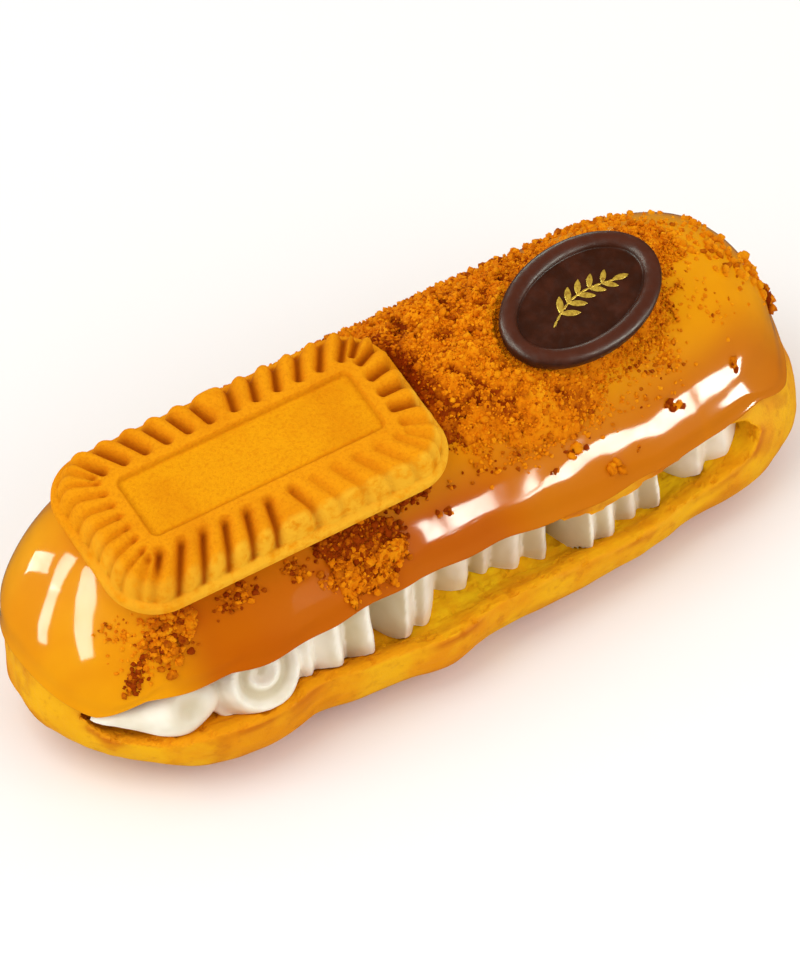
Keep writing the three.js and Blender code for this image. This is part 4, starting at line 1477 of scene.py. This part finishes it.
@dataclass(frozen=True)
class Heap:
    """A heap of crumbs on the icing: its outline seen from above, its height and its seed."""

    node: str
    x: float
    y: float
    long: float
    wide: float
    high: float
    turn: float
    seed: int
    grains: int
    lean: float = 0.0
    step: float = 0.42
    grain: float = 0.34
    torn: float = 0.12
    tone: float = 0.5
    # Reach of the painted shade beside the biscuit.
    shade: float = 5.0

    def share(self, x: Array, y: Array) -> Array:
        """How far out in the heap places lie, 0 in its middle and 1 at its edge."""
        dx, dy = (x - self.x) / self.long, (y - self.y) / self.wide
        angle = np.arctan2(dy, dx)
        ragged = 1.0 + 0.1 * np.sin(3 * angle + self.turn) + 0.06 * np.sin(7 * angle)
        torn = self.torn * lumps(as_rows(x, y, self.seed), 3.6, 3)
        return np.hypot(dx, dy) / (ragged + torn)

    def smooth_top(self, x: Array, y: Array) -> Array:
        """Height of the heap without its grains."""
        out = np.clip(self.share(x, y), 0.0, 1.0)
        ground = BUN.on_top(x, y, BUN.icing_thick)[:, 2]
        high = ground + (self.high + self.lean * (y - self.y)) * (1.0 - out ** 4)
        in_biscuit, in_plaque, under = topping_inset(x, y)
        pressed = smoothstep(np.maximum(in_biscuit, in_plaque), -1.1, 0.1)
        return high + np.minimum(under - 0.4 - high, 0.0) * pressed

    def top(self, x: Array, y: Array) -> Array:
        """Height of the heap with its grains as relief."""
        smooth = self.smooth_top(x, y)
        points = as_rows(x, y, smooth)
        fade = smoothstep(1.0 - self.share(x, y), 0.0, 0.25)
        clods = lumps(points, 5.0, 3, self.seed)
        coarse, fine = pebbles(points, 1.5, self.seed), pebbles(points, 0.8, 2.0 * self.seed)
        relief = 1.3 * clods + 0.6 * coarse + 0.35 * fine
        relief = relief - 1.2 * smoothstep(-lumps(points, 3.2, 2, 3.0 * self.seed), 0.25, 0.6)
        in_biscuit, in_plaque, _ = topping_inset(x, y)
        free = smoothstep(-np.maximum(in_biscuit, in_plaque), -0.2, 0.9)
        return smooth + (relief - 0.5) * (0.35 + 0.65 * fade) * free

    def build(self) -> Object:
        """Cut the heap's outline from a grid, raise it and close its underside."""
        bm = bmesh.new()
        reach_x, reach_y = 1.2 * self.long, 1.2 * self.wide
        columns, rows = int(2 * reach_x / self.step), int(2 * reach_y / self.step)
        bmesh.ops.create_grid(bm, x_segments=columns, y_segments=rows, size=1.0)
        flat = points_of(bm)[:, :2] * np.array([reach_x, reach_y]) + np.array([self.x, self.y])
        mould(bm, np.column_stack([flat, np.zeros(len(flat))]))
        outside = self.share(flat[:, 0], flat[:, 1]) > 1.0
        bm.verts.ensure_lookup_table()
        bmesh.ops.delete(bm, geom=[bm.verts[i] for i in np.flatnonzero(outside)], context="VERTS")
        made = bmesh.ops.extrude_face_region(bm, geom=bm.faces[:], use_keep_orig=True)
        lifted = {item for item in made["geom"] if isinstance(item, BMVert)}
        points = points_of(bm)
        upper = np.array([vert in lifted for vert in bm.verts])
        x, y = points[:, 0], points[:, 1]
        base = BUN.on_top(x, y, BUN.icing_thick)[:, 2] - 0.6
        points[:, 2] = np.where(upper, np.maximum(self.top(x, y), base + 0.2), base)
        mould(bm, points)
        bmesh.ops.recalc_face_normals(bm, faces=bm.faces)
        obj = make_object(bm, self.node + "_core")
        # Painted shade near the biscuit and in hollows between grains, painted light on raised grains.
        shaded = smoothstep(topping_inset(x, y)[0], -self.shade, -0.1 * self.shade)
        tone = self.tone - 0.08 + 0.5 * (self.top(x, y) - self.smooth_top(x, y)) - 0.3 * shaded
        add_values(obj, "tone", np.clip(tone, 0.0, 1.0))
        return obj


@dataclass(frozen=True)
class Sprinkle:
    """Loose crumbs round a place on the icing."""

    x: float
    y: float
    wide_x: float
    wide_y: float
    count: int
    small: float
    large: float
    sunk: float = 0.3
    tone: float = 0.55


@dataclass
class CrumbMaker:
    """Makes joined meshes of loose crumbs from one repeatable draw."""

    seed: int
    spread: float = 1.15
    varied: float = 0.45
    smallest: float = 0.11
    largest: float = 0.8
    by_plaque: float = 0.42
    farthest: float = 2.2

    def __post_init__(self) -> None:
        """Start the draw."""
        self.draw = np.random.default_rng(self.seed)

    def _turns(self, count: int) -> Array:
        """Random turns, three rows each."""
        q = self.draw.standard_normal((count, 4))
        w, x, y, z = (q / np.linalg.norm(q, axis=1, keepdims=True)).T
        rows = [[1 - 2 * (y * y + z * z), 2 * (x * y - z * w), 2 * (x * z + y * w)],
                [2 * (x * y + z * w), 1 - 2 * (x * x + z * z), 2 * (y * z - x * w)],
                [2 * (x * z - y * w), 2 * (y * z + x * w), 1 - 2 * (x * x + y * y)]]
        return np.moveaxis(np.array(rows), 2, 0)

    def join(self, name: str, centres: Array, sizes: Array, tones: Array,
             detail: int) -> Object:
        """One mesh of many crumbs.

        Args:
            name: the piece's name.
            centres: middle of each crumb in millimetres.
            sizes: half-width of each crumb.
            tones: tone of each crumb, 0 dark to 1 light.
            detail: 1 for twenty faces a crumb and 2 for eighty.

        Returns:
            The new object.
        """
        bm = bmesh.new()
        bmesh.ops.create_icosphere(bm, subdivisions=detail, radius=1.0)
        base = points_of(bm)
        faces = np.array([[vert.index for vert in face.verts] for face in bm.faces])
        bm.free()
        count = len(centres)
        knobs = np.clip(1.0 + 0.2 * self.draw.standard_normal((count, len(base), 1)), 0.6, 1.45)
        flat = self.draw.uniform(0.65, 1.15, (count, 1, 3))
        shapes = np.einsum("cij,cnj->cni", self._turns(count), base * knobs * flat)
        spots = shapes * sizes[:, None, None] + (centres + OFFSET)[:, None, :]
        joined = faces[None] + (np.arange(count) * len(base))[:, None, None]
        mesh = bpy.data.meshes.new(name)
        mesh.from_pydata((spots * MM).reshape(-1, 3), [], joined.reshape(-1, 3).tolist())
        for polygon in mesh.polygons:
            polygon.use_smooth = detail > 1
        obj = link(name, mesh)
        add_values(obj, "tone", np.repeat(tones, len(base)))
        return obj

    def on_heap(self, heap: Heap) -> tuple[Array, Array, Array]:
        """Crumbs that lie on a heap: places, sizes and tones."""
        x = heap.x + heap.long * self.spread * self.draw.uniform(-1, 1, 3 * heap.grains)
        y = heap.y + heap.wide * self.spread * self.draw.uniform(-1, 1, 3 * heap.grains)
        out = heap.share(x, y)
        in_biscuit, in_plaque, under = topping_inset(x, y)
        ground = BUN.on_top(x, y, BUN.icing_thick)[:, 2]
        smooth = heap.smooth_top(x, y)
        z = np.where(out < 1.0, np.maximum(heap.top(x, y), ground), ground)
        beside = (in_biscuit < -0.25) & (in_plaque < 0.9)
        room = (beside | ((z < under - 1.2) & (in_biscuit < 6.0))) & (out < 1.1)
        x, y, z, in_biscuit, in_plaque = (
            values[room][:heap.grains] for values in (x, y, z, in_biscuit, in_plaque))
        sizes = heap.grain * self.draw.lognormal(0.0, self.varied, len(x))
        sizes = np.clip(sizes, self.smallest, self.largest)
        sizes = np.where(in_plaque > -0.6, np.minimum(sizes, self.by_plaque), sizes)
        z = z + 0.3 * sizes
        # Painted shade: grains sunk into the heap and grains near the biscuit are darker.
        sunk = smoothstep(smooth[room][:heap.grains] - z, 0.2, 1.6)
        shaded = smoothstep(in_biscuit, -heap.shade, -0.1 * heap.shade)
        tones = np.clip(self.draw.normal(heap.tone, 0.17, len(x)) - 0.3 * sunk - 0.35 * shaded, 0.0, 1.0)
        return as_rows(x, y, z), sizes, tones

    def on_icing(self, spots: list[Sprinkle]) -> tuple[Array, Array, Array]:
        """Crumbs that lie on the bare icing: places, sizes and tones."""
        places, sizes, tones = [], [], []
        far = self.farthest
        for spot in spots:
            x, y = (middle + wide * np.clip(self.draw.standard_normal(spot.count), -far, far)
                    for middle, wide in ((spot.x, spot.wide_x), (spot.y, spot.wide_y)))
            size = self.draw.uniform(spot.small, spot.large, spot.count) / 2
            ground = BUN.on_top(x, y, BUN.icing_thick)
            ground[:, 2] += size * (1.0 - 2.0 * spot.sunk)
            in_biscuit, in_plaque, under = topping_inset(x, y)
            room = (np.maximum(in_biscuit, in_plaque) < -0.2) | (ground[:, 2] + size < under - 0.2)
            room &= ground[:, 2] > BUN.icing_edge(ground[:, 0], ground[:, 1]) + 0.9
            places.append(ground[room])
            sizes.append(size[room])
            tones.append(np.clip(self.draw.normal(spot.tone, 0.2, spot.count), 0.0, 1.0)[room])
        return np.concatenate(places), np.concatenate(sizes), np.concatenate(tones)


@dataclass
class Crumbs:
    """All crumbs: two heaps with their grains, and loose ones on the icing."""

    bed: Heap = Heap("crumb_bed", 20.5, 1.8, 30.5, 17.0, 4.6, 0.6, 7, 9800, -0.05, 0.33, 0.2)
    spill: Heap = Heap("crumb_spill", -20.2, -18.5, 7.8, 4.4, 2.4, 2.0, 11,
                       1000, 0.0, 0.26, 0.26, 0.45, 0.42, 2.6)
    clod: float = 0.62
    loose_seed: int = 23

    def _loose(self) -> list[Sprinkle]:
        """Where crumbs lie on the bare icing."""
        return [
            Sprinkle(-53.6, -16.4, 1.7, 1.4, 140, 0.6, 1.6, 0.25, 0.42),
            Sprinkle(-51.4, -16.0, 1.0, 1.1, 40, 0.8, 2.0, 0.2, 0.34),
            Sprinkle(-57.0, -15.6, 1.5, 1.4, 80, 0.5, 1.3, 0.35, 0.4),
            Sprinkle(-60.4, -12.8, 1.6, 1.6, 60, 0.4, 0.9, 0.55, 0.62),
            Sprinkle(-61.2, -16.6, 1.0, 0.5, 90, 0.4, 1.2, 0.3, 0.05),
            Sprinkle(-63.0, -9.8, 0.7, 0.8, 10, 0.4, 1.0, 0.3, 0.4),
            # The spots at -42.0, -31.4 and -10.0 lie along the biscuit's front edge, and their dark tones are
            # painted shade.
            Sprinkle(-42.0, -17.6, 2.0, 0.7, 70, 0.4, 1.2, 0.3, 0.2),
            Sprinkle(-31.4, -17.5, 1.2, 0.6, 40, 0.4, 1.2, 0.3, 0.2),
            Sprinkle(-22.3, -18.8, 1.3, 0.9, 60, 0.8, 2.4, 0.3, 0.5),
            Sprinkle(-17.2, -22.2, 1.1, 0.9, 50, 0.5, 1.5, 0.3, 0.35),
            Sprinkle(-10.0, -16.0, 2.2, 0.4, 44, 0.5, 1.4, 0.3, 0.1),
            Sprinkle(-4.6, -19.2, 1.0, 0.5, 8, 0.6, 1.3, 0.3, 0.15),
            Sprinkle(6.0, -16.2, 4.0, 1.0, 40, 0.4, 1.1, 0.3, 0.35),
            Sprinkle(15.4, -20.4, 0.6, 0.2, 4, 0.6, 1.3, 0.3, 0.15),
            Sprinkle(21.1, -19.7, 0.8, 0.3, 6, 1.0, 2.0, 0.3, 0.2),
            Sprinkle(20.0, -18.0, 7.0, 0.9, 90, 0.35, 1.0, 0.35, 0.45),
            Sprinkle(26.3, -22.2, 0.6, 0.3, 4, 1.2, 2.2, 0.4, 0.55),
            Sprinkle(31.0, -21.2, 0.5, 0.3, 3, 0.5, 1.0, 0.3, 0.2),
            Sprinkle(39.0, -12.4, 3.8, 2.4, 280, 0.35, 1.0, 0.4, 0.5),
            Sprinkle(39.6, -19.0, 1.0, 0.3, 7, 0.9, 1.7, 0.3, 0.15),
            Sprinkle(55.4, -16.2, 0.2, 0.4, 6, 0.9, 1.6, 0.4, 0.15),
            Sprinkle(53.0, 3.0, 3.4, 4.6, 90, 0.5, 1.2, 0.72, 0.62),
            Sprinkle(60.0, 6.0, 2.8, 4.0, 50, 0.6, 1.5, 0.55, 0.6),
            Sprinkle(64.5, 0.0, 2.0, 4.0, 60, 0.6, 1.7, 0.5, 0.6),
            Sprinkle(69.6, -0.6, 0.8, 2.4, 34, 0.8, 2.0, 0.4, 0.6),
            Sprinkle(71.4, -3.6, 0.4, 0.8, 16, 1.0, 2.4, 0.3, 0.35),
            Sprinkle(55.0, -8.6, 2.4, 2.2, 36, 0.4, 1.0, 0.7, 0.6),
            Sprinkle(14.0, 19.4, 16.0, 1.4, 620, 0.5, 1.3, 0.3, 0.5),
            Sprinkle(48.0, 15.0, 5.0, 3.4, 160, 0.5, 1.4, 0.4, 0.55),
        ]

    def _scatter(self, maker: CrumbMaker, name: str, places: Array, sizes: Array, tones: Array,
                 finish: Material) -> list[Object]:
        """Crumbs as two pieces: small plain grains, and clods with more faces."""
        fine = sizes < self.clod
        made = []
        for part, which, detail in ((name + "_grains", fine, 1), (name + "_clods", ~fine, 2)):
            piece = maker.join(part, places[which], sizes[which], tones[which], detail)
            made.append(hand_over(piece, finish, Slot.CRUMBS))
        return made

    def dress(self) -> list[Object]:
        """Build the heaps and the loose crumbs and finish them."""
        golden = CrumbFinish().make()
        made = []
        for heap in (self.bed, self.spill):
            made.append(hand_over(heap.build(), golden, Slot.CRUMBS, heap.node))
            maker = CrumbMaker(heap.seed)
            made += self._scatter(maker, heap.node, *maker.on_heap(heap), golden)
        maker = CrumbMaker(self.loose_seed)
        made += self._scatter(maker, "crumbs_loose", *maker.on_icing(self._loose()), golden)
        return made


@dataclass(frozen=True)
class Softbox:
    """A studio light between two directions seen from the eclair, given as azimuth and elevation."""

    name: str
    start: tuple
    end: tuple
    wide: float
    bright: float
    away: float = 0.9
    gloss_only: bool = False
    tint: tuple = (1.0, 1.0, 1.0)


@dataclass
class Studio:
    """A pale floor, soft lights and the camera."""

    azimuth: float = -33.0
    elevation: float = 48.0
    away: float = 0.9
    scale: float = 6.2
    frame_high: int = 980
    sensor: float = 36.0
    middle: tuple = (OFFSET[0] * MM, (OFFSET[1] - 0.33) * MM, 0.024)
    image_middle: tuple = (400.0, 490.0)
    seen_at: tuple = (404.0, 462.0)
    ambient: float = 0.68
    floor_sheen: tuple = (0.364, 0.561, -0.743)
    cool: tuple = (0.75, 1.0, 0.92)
    neutral: tuple = (0.9, 1.0, 0.9)
    sky_tint: tuple = (1.0, 0.99, 0.97, 1.0)
    floor_half: float = 3.0
    floor_pale: tuple = linear(246, 245, 243)
    floor_bright: tuple = linear(250, 249, 248)

    @staticmethod
    def _towards(azimuth: float, elevation: float) -> Vector:
        """Unit direction; azimuth 0 points to -Y and 90 to +X."""
        a, e = math.radians(azimuth), math.radians(elevation)
        return Vector((math.sin(a) * math.cos(e), -math.cos(a) * math.cos(e), math.sin(e)))

    def _boxes(self) -> list[Softbox]:
        """The lights: broad ones above and on three sides, and narrow ones that only glossy surfaces show."""
        return [
            Softbox("overhead", (-140.0, 55.0), (-60.0, 60.0), 0.5, 2.15),
            Softbox("front_fill", (0.0, 35.0), (60.0, 35.0), 0.35, 2.05),
            Softbox("left_fill", (-120.0, 28.0), (-65.0, 28.0), 0.35, 1.6),
            Softbox("right_fill", (85.0, 35.0), (125.0, 35.0), 0.35, 0.85),
            Softbox("front_strip", (24.5, 17.6), (61.0, -4.0), 0.08, 36.0, 0.6, True, self.neutral),
            Softbox("front_patch", (21.8, 18.0), (23.6, 32.0), 0.042, 36.0, 0.6, True, self.neutral),
            Softbox("left_bar_a", (-67.0, 10.0), (-121.0, 54.0), 0.12, 18.0, 0.6, True, self.cool),
            Softbox("left_bar_b", (-102.0, 0.0), (-118.0, 26.0), 0.09, 18.0, 0.6, True, self.cool),
            Softbox("left_bar_c", (-117.0, 25.0), (-140.0, 39.0), 0.09, 18.0, 0.6, True, self.cool),
            Softbox("left_patch", (-147.0, 5.0), (-136.0, 26.0), 0.14, 18.0, 0.6, True, self.cool),
            Softbox("back_strip", (143.0, 14.0), (172.0, 14.0), 0.14, 9.0, 0.6, True, self.cool),
        ]

    def light(self) -> None:
        """Set the lights and an even ambient."""
        for box in self._boxes():
            start, end = self._towards(*box.start), self._towards(*box.end)
            along, facing = (end - start), ((start + end) / 2).normalized()
            side = facing.cross(along).normalized()
            lamp = bpy.data.lights.new(box.name, "AREA")
            lamp.shape = "RECTANGLE"
            lamp.size, lamp.size_y = along.length * box.away, box.wide
            lamp.energy = box.bright * math.pi * lamp.size * lamp.size_y
            lamp.color = box.tint
            obj = link(box.name, lamp)
            obj.location = Vector(self.middle) + (start + end) / 2 * box.away
            aim(obj, side.cross(facing), side, facing)
            obj.visible_diffuse = not box.gloss_only
            obj.visible_glossy = box.gloss_only
        world = bpy.data.worlds.new("studio")
        sky = Recipe(world, "Generated")
        down = sky.node("VectorMath", {"operation": "DOT_PRODUCT"}, {0: sky.place, 1: self.floor_sheen})
        sheen = 0.02 + sky.span(sky.read(down, "Value"), 0.7, 1.0) * 0.08
        glossy = sky.read(sky.node("LightPath"), "Is Glossy Ray")
        strength = self.ambient + glossy * (sheen - self.ambient)
        glow = sky.node("Background", None, {"Color": self.sky_tint, "Strength": strength})
        sky.node("OutputWorld", None, {"Surface": sky.read(glow)})
        world.cycles.sampling_method = "NONE"
        bpy.context.scene.world = world
        bpy.context.scene.view_settings.view_transform = "Standard"

    def floor(self) -> Object:
        """A plain pale floor."""
        bm = bmesh.new()
        bmesh.ops.create_grid(bm, x_segments=8, y_segments=8, size=self.floor_half)
        mesh = bpy.data.meshes.new("floor")
        bm.to_mesh(mesh)
        bm.free()
        obj = link("floor", mesh)
        r = Recipe.material("floor")
        colour = r.mix(r.span(r.noise(300.0, 2.0), 0.3, 0.7), self.floor_pale, self.floor_bright)
        mesh.materials.append(r.serve(colour, 0.9, None, Specular_IOR_Level=0.05))
        obj.visible_glossy = False
        obj.visible_shadow = False
        return obj

    def camera(self) -> None:
        """Look at the eclair as the photograph does."""
        back = self._towards(self.azimuth, self.elevation)
        right = Vector((math.cos(math.radians(self.azimuth)), math.sin(math.radians(self.azimuth)), 0.0))
        up = back.cross(right)
        shift = (right * (self.image_middle[0] - self.seen_at[0])
                 - up * (self.image_middle[1] - self.seen_at[1])) * (MM / self.scale)
        data = bpy.data.cameras.new("camera")
        data.sensor_width = self.sensor
        data.lens = self.scale / MM * self.away / self.frame_high * self.sensor
        data.clip_start, data.clip_end = 0.01, 20.0
        obj = link("camera", data)
        obj.location = Vector(self.middle) + back * self.away + shift
        aim(obj, right, up, back)
        bpy.context.scene.camera = obj


def main() -> None:
    """Build and dress every piece."""
    logging.basicConfig(level=logging.INFO, format="%(name)s %(message)s")
    studio = Studio()
    studio.camera()
    studio.light()
    studio.floor()
    Choux().dress()
    Icing().dress()
    Cream().dress()
    BISCUIT.dress()
    PLAQUE.dress()
    Crumbs().dress()


if __name__ == "__main__":
    main()
